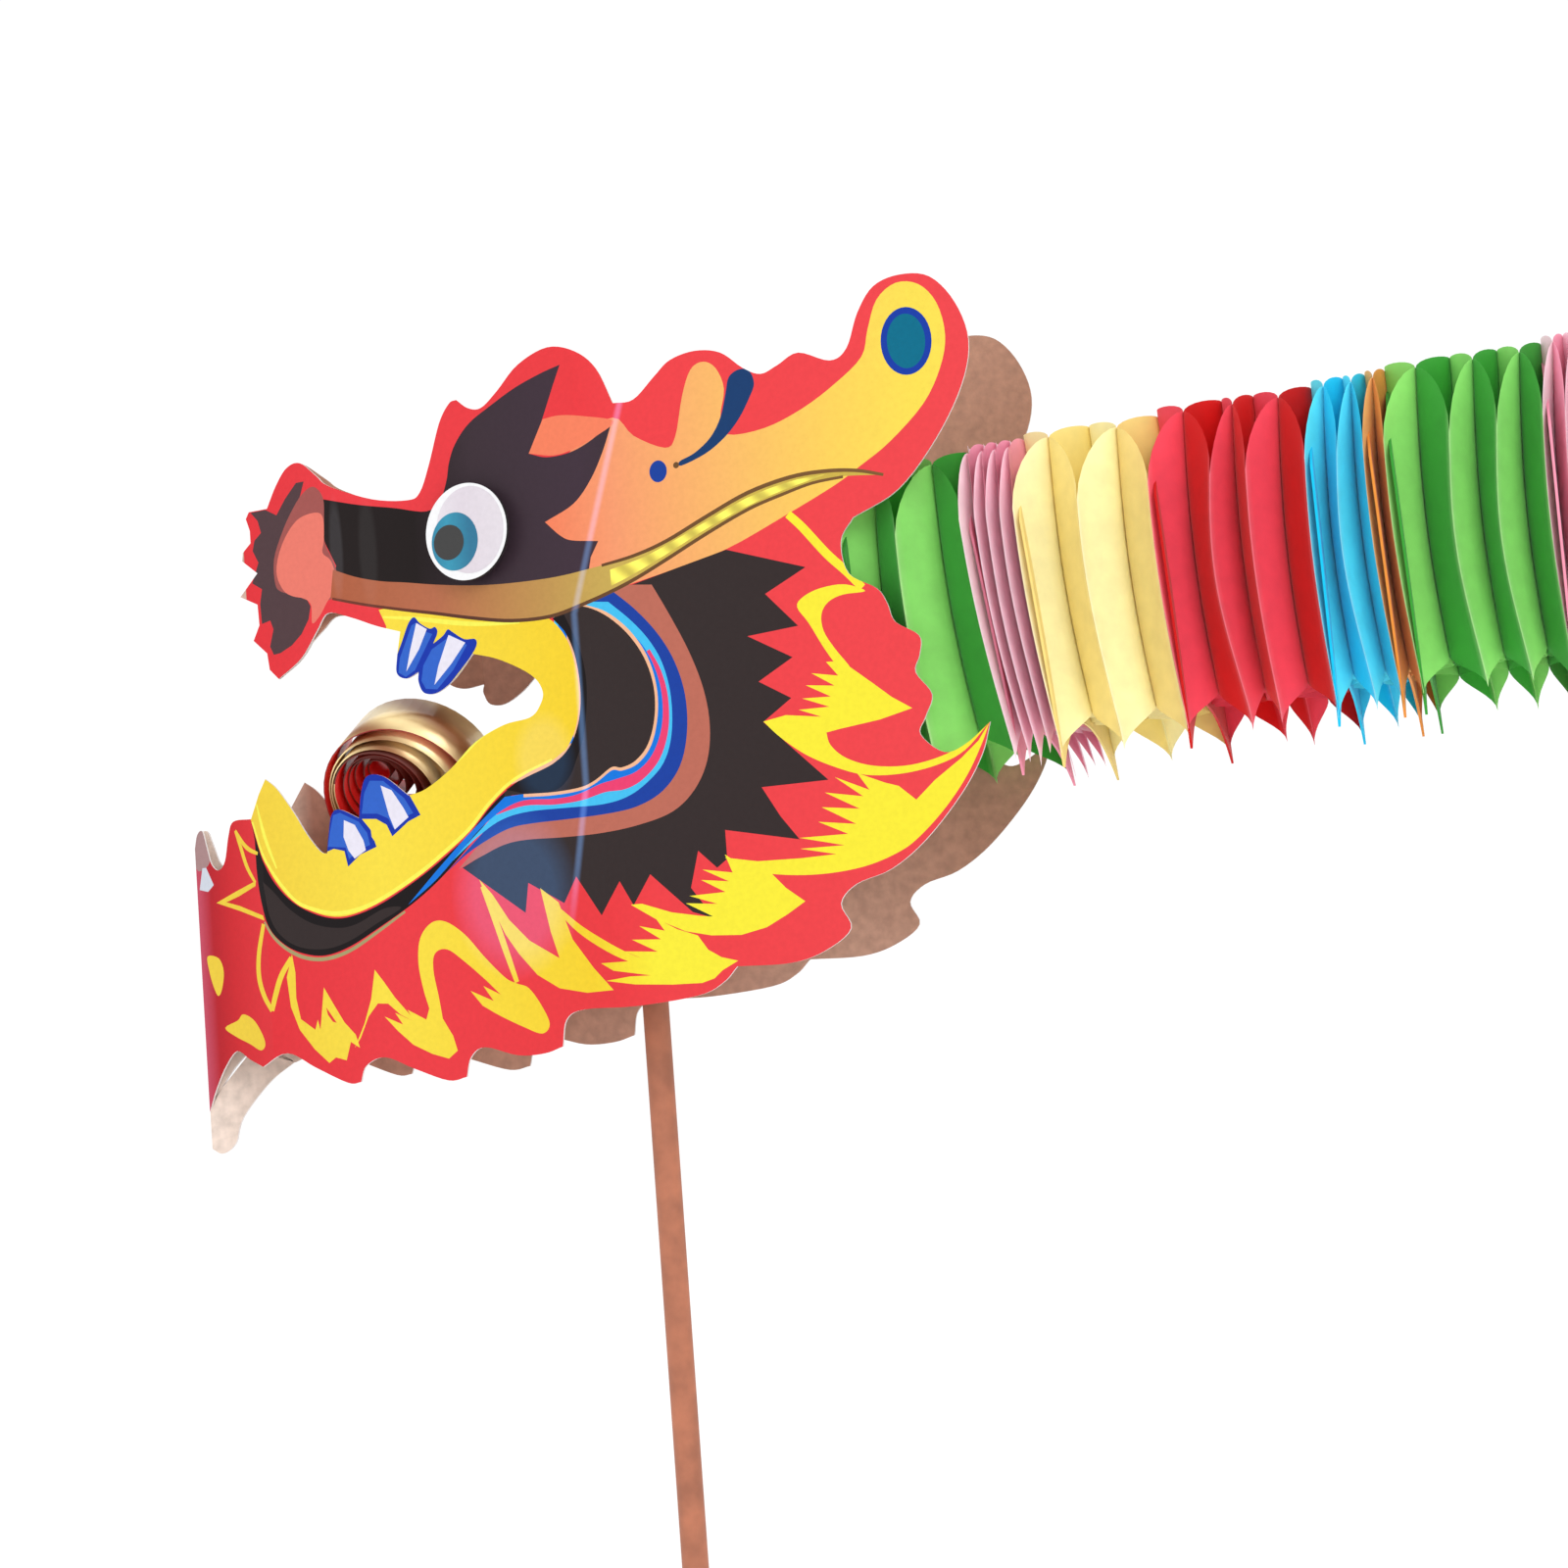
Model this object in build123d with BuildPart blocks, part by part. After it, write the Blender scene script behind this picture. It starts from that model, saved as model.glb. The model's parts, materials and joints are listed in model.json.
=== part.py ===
from build123d import *
import math
import os

os.makedirs("parts", exist_ok=True)

# Paper parade dragon on two sticks. Origin: centre of the bottom end of the head stick.
# +Z up along the head stick, nose to -X, tail to +X, near side -Y, all in mm.

# ---- driving dimensions -------------------------------------------------
CARD = 0.6  # printed card
SHEET = 0.5  # glued double leaf between two colours
GAP = 0.3  # clearance between soft bodies
STICK_R = 3.0
STICK_LENGTH = 300.0
MARK, MARK_DEPTH = 0.8, 0.3  # scored ring that shows how far a stick goes in
HEAD_MARK_Z = 196.0
TAIL_MARK_Z = 248.0

FOLD_NOSE_X = -118.0  # fold on the centre plane
FOLD_CHIN_X, FOLD_CHIN_W = -94.0, 9.0  # half width of the head at the chin crease
FOLD_CHEEK_X, FOLD_CHEEK_W = 0.0, 23.0  # at the cheek crease
FOLD_REAR_X, FOLD_REAR_W = 93.0, 30.0  # at the rear edge

# the upper jaw of the far half bends across and is glued to the near half at the nose
JAW_X, JAW_Z = -14.0, 262.0  # behind and above this only the upper jaw is left
JAW_BEND_X, JAW_BEND_Y = -46.0, 18.3
NOSE_GLUE_X = -76.0

EYE_X, EYE_Z, EYE_R = -28.4, 299.8, 11.0
EYE_DISC = 0.8
PAD_R, PAD = 9.0, 2.4

HALF_DEPTH = 30.0  # body half depth at the ridges
HALF_DEPTH_NECK = 26.5  # first section, inside the head
PLEAT_WALL = 0.3  # pleated paper
JOIN = 0.03  # overlap where two cells are glued at the centre line
SLOPE = 0.045  # rise of the body towards the tail

TAIL_X0, TAIL_W0 = 322.0, 28.6  # the tail panels are parallel in front of this
TAIL_JOIN_X = 396.0  # and meet here
TAIL_END_X = 460.0
TAIL_STICK_X = 350.0
TAIL_STICK_Z0 = 8.0

# ---- head card ----------------------------------------------------------
# side outline as runs between sharp corners; "s" runs are smooth, "p" runs straight
HEAD_RUNS = [
    ("p", [(-86, 273.5), (-88.5, 276), (-89, 280), (-92.8, 283.5), (-90.8, 287), (-91, 292)]),
    ("p", [(-91, 292), (-96, 294.5), (-90.5, 299.5), (-94.8, 303), (-94.5, 305), (-92, 307)]),
    ("p", [(-92, 307), (-92, 310), (-93, 313), (-92, 314.5), (-86.5, 314.5)]),
    ("s", [(-86.5, 314.5), (-83.5, 319.5), (-80, 323.3), (-76, 323.8), (-71.5, 320), (-68, 317), (-56, 312),
           (-46, 310.2), (-42.5, 311.5), (-39.5, 317.5), (-36, 326.5), (-33, 330.5), (-31, 331)]),
    ("s", [(-31, 331), (-28, 328.6), (-24.5, 328), (-20, 331), (-14, 336), (-6, 338.5), (1, 336.3),
           (6, 331.5), (9.5, 323.2)]),
    ("s", [(9.5, 323.2), (14.5, 323.2), (20, 327.5), (24, 330.4), (30, 331.4), (36, 330), (41, 325.8),
           (45, 323.8), (49, 325), (54, 326.9), (61, 324), (65, 326), (68, 333), (72, 338), (78, 339.4),
           (84.5, 337.8), (89.5, 331.5), (91.8, 323), (89.5, 314), (83, 303.7), (74, 294.5), (63.5, 290)]),
    ("s", [(63.5, 290), (60.4, 285.5), (61.5, 278.5), (67.5, 274.5), (69.6, 271), (71, 267), (76, 263.5),
           (75.8, 259.5), (74.6, 256), (77.8, 251), (76, 246.5), (74.6, 243), (79.5, 238.8), (84.5, 240.2),
           (89.8, 244)]),
    ("s", [(89.8, 244), (87.5, 237.5), (82.5, 230), (74, 221.2), (66, 215.8), (58, 213.3), (54.2, 209.5),
           (56, 204.2), (50, 200), (42, 197.9), (29.5, 198)]),
    ("s", [(29.5, 198), (26, 194.8), (20, 192.4), (5, 191), (-8, 191), (-12.8, 189), (-14.2, 183.2)]),
    ("s", [(-14.2, 183.2), (-19, 181.9), (-26, 181.8), (-34.5, 184), (-38.5, 182), (-40, 177.6)]),
    ("s", [(-40, 177.6), (-45, 177), (-54, 180), (-62, 183), (-67.5, 181.3), (-69.3, 177.6)]),
    ("s", [(-69.3, 177.6), (-73, 177.6), (-82, 181.5), (-90, 185.2), (-98, 182.3)]),
    ("s", [(-98, 182.3), (-102.5, 184.2), (-106.8, 186.3), (-111, 183), (-115, 177.5), (-118.2, 172)]),
    ("p", [(-118.2, 172), (-121, 172), (-121, 236), (-118.2, 236)]),
    ("s", [(-118.2, 236), (-116.8, 239.2), (-115, 240), (-113.8, 236.5), (-112.3, 231.8), (-109.8, 230),
           (-107.3, 232), (-105.5, 238), (-103.5, 241.2), (-97.2, 241.2)]),
    ("p", [(-97.2, 241.2), (-94, 246.8), (-91.8, 250.2)]),
    ("s", [(-91.8, 250.2), (-88.5, 247.5), (-84, 241.5), (-80.5, 236), (-77, 231.8), (-75, 231)]),
    ("s", [(-75, 231), (-74.3, 235), (-73, 240), (-70.5, 240.9), (-65.2, 238.4)]),
    ("s", [(-65.2, 238.4), (-64.3, 244), (-62.3, 247.9), (-57.5, 247.3), (-51, 242.3)]),
    ("s", [(-51, 242.3), (-46, 243.4), (-39, 247.2), (-32, 252.5), (-24, 255.6), (-17, 256.5), (-14.2, 258.8),
           (-13.2, 262), (-16, 266), (-24, 270.4), (-31, 272.6)]),
    ("s", [(-31, 272.6), (-36, 267.8), (-41, 265), (-44.8, 265.3), (-46.2, 268), (-46, 270.3)]),
    ("s", [(-46, 270.3), (-49.5, 269.2), (-52, 270.6), (-51.8, 274), (-50.4, 280.2)]),
    ("s", [(-50.4, 280.2), (-57, 282.4), (-64, 285.3), (-70.5, 287.2), (-74, 283.5), (-79, 277.6),
           (-86, 273.5)]),
]
GOATEE = [(-118.2, 174), (-121, 174), (-121, 163.5), (-116.5, 161.5), (-112.5, 164), (-110.5, 170),
          (-104, 178), (-97, 183), (-106, 188)]


# the brow of the far half is cut a little lower
FAR_BROW = [(-31, 331), (-27, 328.2), (-22, 328.4), (-14, 331), (-6, 331.8), (1, 330), (6, 326.6),
            (9.5, 323.2)]


def draw_runs(runs):
    for kind, points in runs:
        if kind == "s":
            Spline(*points)
        else:
            Polyline(*points)


# plan of the folded card, closed well behind the rear edge so that only the sides remain
FOLD_SLOPE = (FOLD_REAR_W - FOLD_CHEEK_W) / (FOLD_REAR_X - FOLD_CHEEK_X)
FAR_END_X = 120.0
FAR_END_W = FOLD_CHEEK_W + FOLD_SLOPE * (FAR_END_X - FOLD_CHEEK_X)
HEAD_PLAN = [
    (FOLD_NOSE_X, 0.0),
    (FOLD_CHIN_X, -FOLD_CHIN_W),
    (FOLD_CHEEK_X, -FOLD_CHEEK_W),
    (FAR_END_X, -FAR_END_W),
    (FAR_END_X, FAR_END_W),
    (FOLD_CHEEK_X, FOLD_CHEEK_W),
    (FOLD_CHIN_X, FOLD_CHIN_W),
]

CHEEK_SLOPE = (FOLD_CHEEK_W - FOLD_CHIN_W) / (FOLD_CHEEK_X - FOLD_CHIN_X)


def head_width(x):
    # half width of the folded head on its outer face
    if x < FOLD_CHIN_X:
        return FOLD_CHIN_W * (x - FOLD_NOSE_X) / (FOLD_CHIN_X - FOLD_NOSE_X)
    if x < FOLD_CHEEK_X:
        return FOLD_CHEEK_W + CHEEK_SLOPE * (x - FOLD_CHEEK_X)
    return FOLD_CHEEK_W + FOLD_SLOPE * (x - FOLD_CHEEK_X)


JAW_START = (JAW_X + 0.6, head_width(JAW_X + 0.6) - CARD / 2)
JAW_BEND = (JAW_BEND_X, JAW_BEND_Y - CARD / 2)
JAW_MIDDLE = (-60.0, 2.5)
NOSE_GLUE = (NOSE_GLUE_X, -head_width(NOSE_GLUE_X) + 1.4 * CARD)
NOSE_END = (FOLD_CHIN_X - 4, -head_width(FOLD_CHIN_X) + 1.4 * CARD)

with BuildPart() as far_upper_jaw:
    with BuildSketch(Plane.XZ):
        with BuildLine():
            draw_runs(HEAD_RUNS)
        make_face()
    extrude(amount=40, both=True)
    with BuildSketch(Plane.XY.offset(JAW_Z)):
        with BuildLine():
            Line(JAW_START, JAW_BEND)
            Spline(JAW_BEND, JAW_MIDDLE, NOSE_GLUE)
            Line(NOSE_GLUE, NOSE_END)
        trace(line_width=CARD)
    extrude(amount=80, mode=Mode.INTERSECT)

with BuildPart() as head_card:
    with BuildSketch(Plane.XZ):
        with BuildLine():
            draw_runs(HEAD_RUNS)
        make_face()
    extrude(amount=40, both=True)
    with BuildSketch(Plane.XZ):
        Polygon(*GOATEE, align=None)
    extrude(amount=-40)
    with BuildSketch(Plane.XY.offset(150)):
        Polygon(*HEAD_PLAN, align=None)
        with BuildLine():
            Polyline(*HEAD_PLAN, close=True)
        offset(make_face(mode=Mode.PRIVATE), amount=-CARD, kind=Kind.INTERSECTION, mode=Mode.SUBTRACT)
    extrude(amount=200, mode=Mode.INTERSECT)
    with Locations((JAW_X, 0, JAW_Z)):
        Box(120, 60, 90, align=(Align.MAX, Align.MIN, Align.MIN), mode=Mode.SUBTRACT)
    add(far_upper_jaw.part)
    with BuildSketch(Plane.XZ):
        with BuildLine():
            Spline(*FAR_BROW)
            Polyline(FAR_BROW[-1], (11, 345), (-31, 345), FAR_BROW[0])
        make_face()
    extrude(amount=-40, mode=Mode.SUBTRACT)
head_card.part.label = "head_card"
export_step(head_card.part, "parts/head_card.step")

# ---- eyes: a printed disc raised on a foam pad, both sides ---------------
CHEEK_TILT = math.atan(CHEEK_SLOPE)
EYE_Y = head_width(EYE_X)
EYE_NORMAL = (-math.sin(CHEEK_TILT), -math.cos(CHEEK_TILT), 0)
EYE_ACROSS = (math.cos(CHEEK_TILT), -math.sin(CHEEK_TILT), 0)
eye_plane = Plane(origin=(EYE_X, -EYE_Y, EYE_Z), x_dir=EYE_ACROSS, z_dir=EYE_NORMAL)
FAR_TILT = math.atan2(JAW_START[1] - JAW_BEND[1], JAW_START[0] - JAW_BEND[0])
FAR_EYE_Y = JAW_BEND[1] + math.tan(FAR_TILT) * (EYE_X - JAW_BEND[0]) + CARD / 2 / math.cos(FAR_TILT)
far_eye_plane = Plane(
    origin=(EYE_X, FAR_EYE_Y, EYE_Z),
    x_dir=(math.cos(FAR_TILT), math.sin(FAR_TILT), 0),
    z_dir=(-math.sin(FAR_TILT), math.cos(FAR_TILT), 0),
)

with BuildPart() as near_eye_pad:
    with BuildSketch(eye_plane.offset(0.05)):
        Circle(PAD_R)
    extrude(amount=PAD)
with BuildPart() as near_eye_disc:
    with BuildSketch(eye_plane.offset(PAD + 0.1)):
        Circle(EYE_R)
    extrude(amount=EYE_DISC)
with BuildPart() as far_eye_pad:
    with BuildSketch(far_eye_plane.offset(0.05)):
        Circle(PAD_R)
    extrude(amount=PAD)
with BuildPart() as far_eye_disc:
    with BuildSketch(far_eye_plane.offset(PAD + 0.1)):
        Circle(EYE_R)
    extrude(amount=EYE_DISC)
for name, piece in (
    ("near_eye_pad", near_eye_pad),
    ("near_eye_disc", near_eye_disc),
    ("far_eye_pad", far_eye_pad),
    ("far_eye_disc", far_eye_disc),
):
    piece.part.label = name
    export_step(piece.part, f"parts/{name}.step")

# ---- sticks, the card bridges that carry them, and the tape --------------
BRIDGE_X = STICK_R + 0.1
FLAP = 9.0
TAPE = 0.2
TAPE_REACH = 9.0
TAPE_WIDTH = 12.0
scored_ring = Cylinder(STICK_R + 1, MARK) - Cylinder(STICK_R - MARK_DEPTH, MARK)

with BuildPart() as head_stick:
    Cylinder(STICK_R, STICK_LENGTH, align=(Align.CENTER, Align.CENTER, Align.MIN))
    chamfer(head_stick.edges().filter_by(GeomType.CIRCLE), 0.4)
    add(Pos(0, 0, HEAD_MARK_Z + MARK / 2) * scored_ring, mode=Mode.SUBTRACT)
head_stick.part.label = "head_stick"
export_step(head_stick.part, "parts/head_stick.step")

with BuildPart() as tail_stick:
    with Locations((TAIL_STICK_X, 0, TAIL_STICK_Z0)):
        Cylinder(STICK_R, STICK_LENGTH, align=(Align.CENTER, Align.CENTER, Align.MIN))
    chamfer(tail_stick.edges().filter_by(GeomType.CIRCLE), 0.4)
    add(Pos(TAIL_STICK_X, 0, TAIL_MARK_Z + MARK / 2) * scored_ring, mode=Mode.SUBTRACT)
tail_stick.part.label = "tail_stick"
export_step(tail_stick.part, "parts/tail_stick.step")


def bridge_plan(x, width_at):
    # U-shaped strip: a web across the panels and a flap lying along each inner face
    web = width_at(x) - CARD - 0.15
    end = width_at(x + FLAP) - CARD - 0.15
    near_side = [(x, -web), (x + FLAP, -end), (x + FLAP, -end + CARD), (x + CARD, -web + CARD)]
    far_side = [(px, -py) for px, py in reversed(near_side)]
    Polygon(*near_side, *far_side, align=None)


def tail_width(x):
    return TAIL_W0 * (TAIL_JOIN_X - x) / (TAIL_JOIN_X - TAIL_X0) + CARD - 0.1


HEAD_BRIDGE_Z, HEAD_BRIDGE_H = 222.0, 62.0
TAIL_BRIDGE_Z, TAIL_BRIDGE_H = 262.0, 40.0
TONGUE_BRIDGE_X, TONGUE_BRIDGE_Z, TONGUE_BRIDGE_H = -32.0, 216.0, 12.0

with BuildPart() as head_stick_bridge:
    with BuildSketch(Plane.XY.offset(HEAD_BRIDGE_Z)):
        bridge_plan(BRIDGE_X, head_width)
    extrude(amount=HEAD_BRIDGE_H)
with BuildPart() as tail_stick_bridge:
    with BuildSketch(Plane.XY.offset(TAIL_BRIDGE_Z)):
        bridge_plan(TAIL_STICK_X + BRIDGE_X, tail_width)
    extrude(amount=TAIL_BRIDGE_H)
with BuildPart() as tongue_bridge:
    with BuildSketch(Plane.XY.offset(TONGUE_BRIDGE_Z)):
        bridge_plan(TONGUE_BRIDGE_X, head_width)
    extrude(amount=TONGUE_BRIDGE_H)


def tape_plan(x):
    # strip pressed over the stick and down onto the web on both sides
    r0 = STICK_R + 0.05
    r1 = r0 + TAPE
    web = BRIDGE_X - 0.05
    with Locations((x, 0)):
        Circle(r1)
        Rectangle(web, 2 * r1, align=(Align.MIN, Align.CENTER))
    with Locations((x + web, 0)):
        Rectangle(TAPE, 2 * TAPE_REACH, align=(Align.MAX, Align.CENTER))
    with Locations((x, 0)):
        Circle(r0, mode=Mode.SUBTRACT)
        Rectangle(web + 1, 2 * r0, align=(Align.MIN, Align.CENTER), mode=Mode.SUBTRACT)


with BuildPart() as head_stick_tapes:
    for z in (228.0, 264.0):
        with BuildSketch(Plane.XY.offset(z)):
            tape_plan(0.0)
        extrude(amount=TAPE_WIDTH)
with BuildPart() as tail_stick_tapes:
    for z in (265.0, 287.0):
        with BuildSketch(Plane.XY.offset(z)):
            tape_plan(TAIL_STICK_X)
        extrude(amount=TAPE_WIDTH)
for name, piece in (
    ("head_stick_bridge", head_stick_bridge),
    ("tail_stick_bridge", tail_stick_bridge),
    ("tongue_bridge", tongue_bridge),
    ("head_stick_tapes", head_stick_tapes),
    ("tail_stick_tapes", tail_stick_tapes),
):
    piece.part.label = name
    export_step(piece.part, f"parts/{name}.step")

# ---- tongue: a coiled foil strip in the mouth ----------------------------
COIL_X, COIL_Y, COIL_Z = -55.4, -3.3, 244.5
COIL_TILT = 28.0  # the near end hangs lower
COIL_WIDTH = 12.0
COIL_R = 22.0
COIL_STEP = 5.0  # radius lost per full turn
COIL_HALF_TURNS = 6
FOIL = 0.5
TAB_WIDTH = 7.0
TAB_END_X = TONGUE_BRIDGE_X - 1.1
COIL_AXIS = (0, -math.cos(math.radians(COIL_TILT)), -math.sin(math.radians(COIL_TILT)))
coil_plane = Plane(origin=(COIL_X, COIL_Y, COIL_Z), x_dir=(1, 0, 0), z_dir=COIL_AXIS)

with BuildPart() as tongue_coil:
    with BuildSketch(coil_plane):
        with BuildLine():
            # half turns of shrinking radius, starting at the bottom and running round the nose side
            radius = COIL_R
            centre = 0.0
            start = -90
            for turn in range(COIL_HALF_TURNS):
                CenterArc((0, centre), radius, start, -180)
                shrink = COIL_STEP * 0.5
                direction = 1 if start == -90 else -1
                centre = centre + direction * shrink
                radius = radius - shrink
                start = -start
        trace(line_width=FOIL)
    extrude(amount=COIL_WIDTH / 2, both=True)
with BuildPart() as tongue_tab:
    # straight end of the strip, from under the coil back to its foot
    with BuildSketch(coil_plane):
        with Locations((0, -COIL_R - FOIL / 2)):
            Rectangle(TAB_END_X - COIL_X, FOIL, align=(Align.MIN, Align.MAX))
    extrude(amount=TAB_WIDTH / 2, both=True)
with BuildPart() as tongue_foot:
    # the strip's bent end, glued flat on the bridge
    with Locations((TONGUE_BRIDGE_X - 0.15, 8.0, 219.5)):
        Box(FOIL, 9.0, 8.0, align=(Align.MAX, Align.CENTER, Align.MIN))
for name, piece in (("tongue_coil", tongue_coil), ("tongue_tab", tongue_tab), ("tongue_foot", tongue_foot)):
    piece.part.label = name
    export_step(piece.part, f"parts/{name}.step")

# ---- body: pleated coloured sections with a glued double leaf between them
Z_TOP_REF, Z_BOTTOM_REF = 300.0, 236.0  # heights at which the leaf positions are given
# (name of the section, x of its rear leaf at the top, x at the bottom, pleats)
NECK_TOP_X, NECK_BOTTOM_X = 60.0, 62.0
SECTIONS = [
    ("green_1", 86.0, 94.5, 2),
    ("pink_1", 98.0, 104.0, 4),
    ("yellow_1", 126.5, 130.0, 2),
    ("red_1", 158.0, 159.0, 3),
    ("blue_1", 169.0, 171.5, 2),
    ("orange_1", 173.0, 175.5, 1),
    ("green_2", 203.0, 203.0, 3),
    ("pink_2", 218.0, 218.0, 4),
    ("yellow_2", 245.0, 245.0, 2),
    ("red_2", 274.0, 274.0, 3),
    ("blue_2", 287.0, 287.0, 2),
    ("orange_2", 292.0, 292.0, 1),
    ("green_3", 318.0, 318.0, 3),
]


def x_at(top, bottom, z):
    return bottom + (top - bottom) * (z - Z_BOTTOM_REF) / (Z_TOP_REF - Z_BOTTOM_REF)


def cell_plan(x0, x1, depth, wall):
    # one cell seen from above: sheets joined at the near and far ridges, spread at the centre line
    half = (x1 - x0) / 2
    middle = (x0 + x1) / 2
    tip = depth * (1 - wall / half)
    Polygon((middle, -tip), (middle + half - wall, 0), (middle, tip), (middle - half + wall, 0), align=None)


def draw_leaf(x, depth):
    # rounded top, arched bottom with a tip at each side, rising with the body
    lift = SLOPE * (x - 60.0)
    Spline((-depth, 283 + lift), (-depth * 0.6, 295 + lift), (0, 301.5 + lift), (depth * 0.6, 295 + lift),
           (depth, 283 + lift))
    Line((depth, 283 + lift), (depth, 231.5 + lift))
    Spline((depth, 231.5 + lift), (depth * 0.5, 240 + lift), (0, 242.5 + lift), (-depth * 0.5, 240 + lift),
           (-depth, 231.5 + lift))
    Line((-depth, 231.5 + lift), (-depth, 283 + lift))


Z_LOW, Z_HIGH = 220.0, 325.0
INSET = SHEET / 2 + GAP + JOIN
front_top, front_bottom = NECK_TOP_X, NECK_BOTTOM_X
leaves = [("neck_leaf", front_top, front_bottom, HALF_DEPTH_NECK)]
for index, (name, rear_top, rear_bottom, pleats) in enumerate(SECTIONS):
    last = len(SECTIONS) - 1
    depth = HALF_DEPTH_NECK if index in (0, last) else HALF_DEPTH
    with BuildPart() as section:
        for wall, mode in ((-JOIN, Mode.ADD), (PLEAT_WALL, Mode.SUBTRACT)):
            for cell in range(pleats):
                for z in (Z_LOW, Z_HIGH):
                    x0 = x_at(front_top, front_bottom, z) + INSET
                    x1 = x_at(rear_top, rear_bottom, z) - INSET
                    step = (x1 - x0) / pleats
                    with BuildSketch(Plane.XY.offset(z)):
                        cell_plan(x0 + step * cell, x0 + step * (cell + 1), depth, wall)
                loft(ruled=True, mode=mode)
        with BuildSketch(Plane.YZ):
            with BuildLine():
                draw_leaf((front_top + rear_top) / 2, depth + 0.01)
            make_face()
        extrude(amount=400, mode=Mode.INTERSECT)
    section.part.label = f"pleats_{name}"
    export_step(section.part, f"parts/pleats_{name}.step")
    leaf_name = "tail_leaf" if index == last else f"leaf_{index + 1:02d}"
    leaves.append((leaf_name, rear_top, rear_bottom, depth - 0.5))
    front_top, front_bottom = rear_top, rear_bottom

for name, top, bottom, depth in leaves:
    with BuildPart() as leaf:
        with BuildSketch(Plane.XZ):
            Polygon(
                (x_at(top, bottom, Z_LOW) - SHEET / 2, Z_LOW),
                (x_at(top, bottom, Z_LOW) + SHEET / 2, Z_LOW),
                (x_at(top, bottom, Z_HIGH) + SHEET / 2, Z_HIGH),
                (x_at(top, bottom, Z_HIGH) - SHEET / 2, Z_HIGH),
                align=None,
            )
        extrude(amount=60, both=True)
        with BuildSketch(Plane.YZ):
            with BuildLine():
                draw_leaf(top, depth)
            make_face()
        extrude(amount=400, mode=Mode.INTERSECT)
    leaf.part.label = name
    export_step(leaf.part, f"parts/{name}.step")

# ---- tail card: two panels glued together behind the stick ---------------
TAIL_RUNS = [
    ("s", [(306, 304), (320, 311), (336, 315), (351, 322), (363, 332), (384, 342)]),
    ("s", [(384, 342), (376, 331), (374, 323), (380, 318)]),
    ("s", [(380, 318), (392, 322), (406, 329), (426, 332)]),
    ("s", [(426, 332), (414, 324), (408, 315), (412, 308)]),
    ("s", [(412, 308), (426, 310), (441, 309), (459, 302)]),
    ("s", [(459, 302), (445, 298), (436, 291), (436, 283)]),
    ("s", [(436, 283), (446, 280), (453, 275), (458, 265)]),
    ("s", [(458, 265), (446, 269), (434, 269), (427, 263)]),
    ("s", [(427, 263), (431, 256), (430, 248), (424, 237)]),
    ("s", [(424, 237), (418, 246), (409, 251), (398, 248)]),
    ("s", [(398, 248), (397, 241), (391, 233), (379, 227)]),
    ("s", [(379, 227), (380, 237), (375, 245), (363, 245)]),
    ("s", [(363, 245), (350, 242), (330, 241), (306, 240)]),
    ("s", [(306, 240), (303, 250), (308, 260), (302, 272), (308, 284), (303, 294), (306, 304)]),
]
TAIL_FRONT_X = 290.0
TAIL_PLAN = [
    (TAIL_FRONT_X, -TAIL_W0 - CARD),
    (TAIL_X0, -TAIL_W0 - CARD),
    (TAIL_JOIN_X, -CARD),
    (TAIL_END_X + 10, -CARD),
    (TAIL_END_X + 10, CARD),
    (TAIL_JOIN_X, CARD),
    (TAIL_X0, TAIL_W0 + CARD),
    (TAIL_FRONT_X, TAIL_W0 + CARD),
]
TAIL_HOLLOW = [
    (TAIL_FRONT_X - 1, -TAIL_W0),
    (TAIL_X0, -TAIL_W0),
    (TAIL_JOIN_X, 0),
    (TAIL_X0, TAIL_W0),
    (TAIL_FRONT_X - 1, TAIL_W0),
]
with BuildPart() as tail_card:
    with BuildSketch(Plane.XZ):
        with BuildLine():
            draw_runs(TAIL_RUNS)
        make_face()
    extrude(amount=45, both=True)
    with BuildSketch(Plane.XY.offset(200)):
        Polygon(*TAIL_PLAN, align=None)
        Polygon(*TAIL_HOLLOW, align=None, mode=Mode.SUBTRACT)
    extrude(amount=160, mode=Mode.INTERSECT)
tail_card.part.label = "tail_card"
export_step(tail_card.part, "parts/tail_card.step")
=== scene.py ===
import json
import math
import random

import bmesh
import bpy
from mathutils import Matrix, Vector
from mathutils.geometry import delaunay_2d_cdt


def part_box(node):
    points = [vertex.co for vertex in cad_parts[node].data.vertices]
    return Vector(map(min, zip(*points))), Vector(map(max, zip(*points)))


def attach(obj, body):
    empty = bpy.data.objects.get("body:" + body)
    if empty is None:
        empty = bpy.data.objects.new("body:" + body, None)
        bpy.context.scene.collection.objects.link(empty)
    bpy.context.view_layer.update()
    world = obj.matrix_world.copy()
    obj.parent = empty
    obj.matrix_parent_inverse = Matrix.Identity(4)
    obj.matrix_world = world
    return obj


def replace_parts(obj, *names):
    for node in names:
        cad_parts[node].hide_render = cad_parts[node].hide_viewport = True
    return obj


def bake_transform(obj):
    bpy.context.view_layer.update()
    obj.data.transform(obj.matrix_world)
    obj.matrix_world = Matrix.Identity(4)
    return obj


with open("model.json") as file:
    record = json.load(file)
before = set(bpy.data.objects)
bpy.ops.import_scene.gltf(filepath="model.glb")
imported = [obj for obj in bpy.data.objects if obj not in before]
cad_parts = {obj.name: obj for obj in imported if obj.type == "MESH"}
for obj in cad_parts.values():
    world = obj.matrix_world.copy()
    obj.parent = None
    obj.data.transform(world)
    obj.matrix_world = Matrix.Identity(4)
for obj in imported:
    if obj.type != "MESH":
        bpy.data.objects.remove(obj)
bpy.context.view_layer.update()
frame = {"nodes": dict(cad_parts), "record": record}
random.seed(7)
MM = 0.001

# ---------------------------------------------------------------- materials


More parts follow.
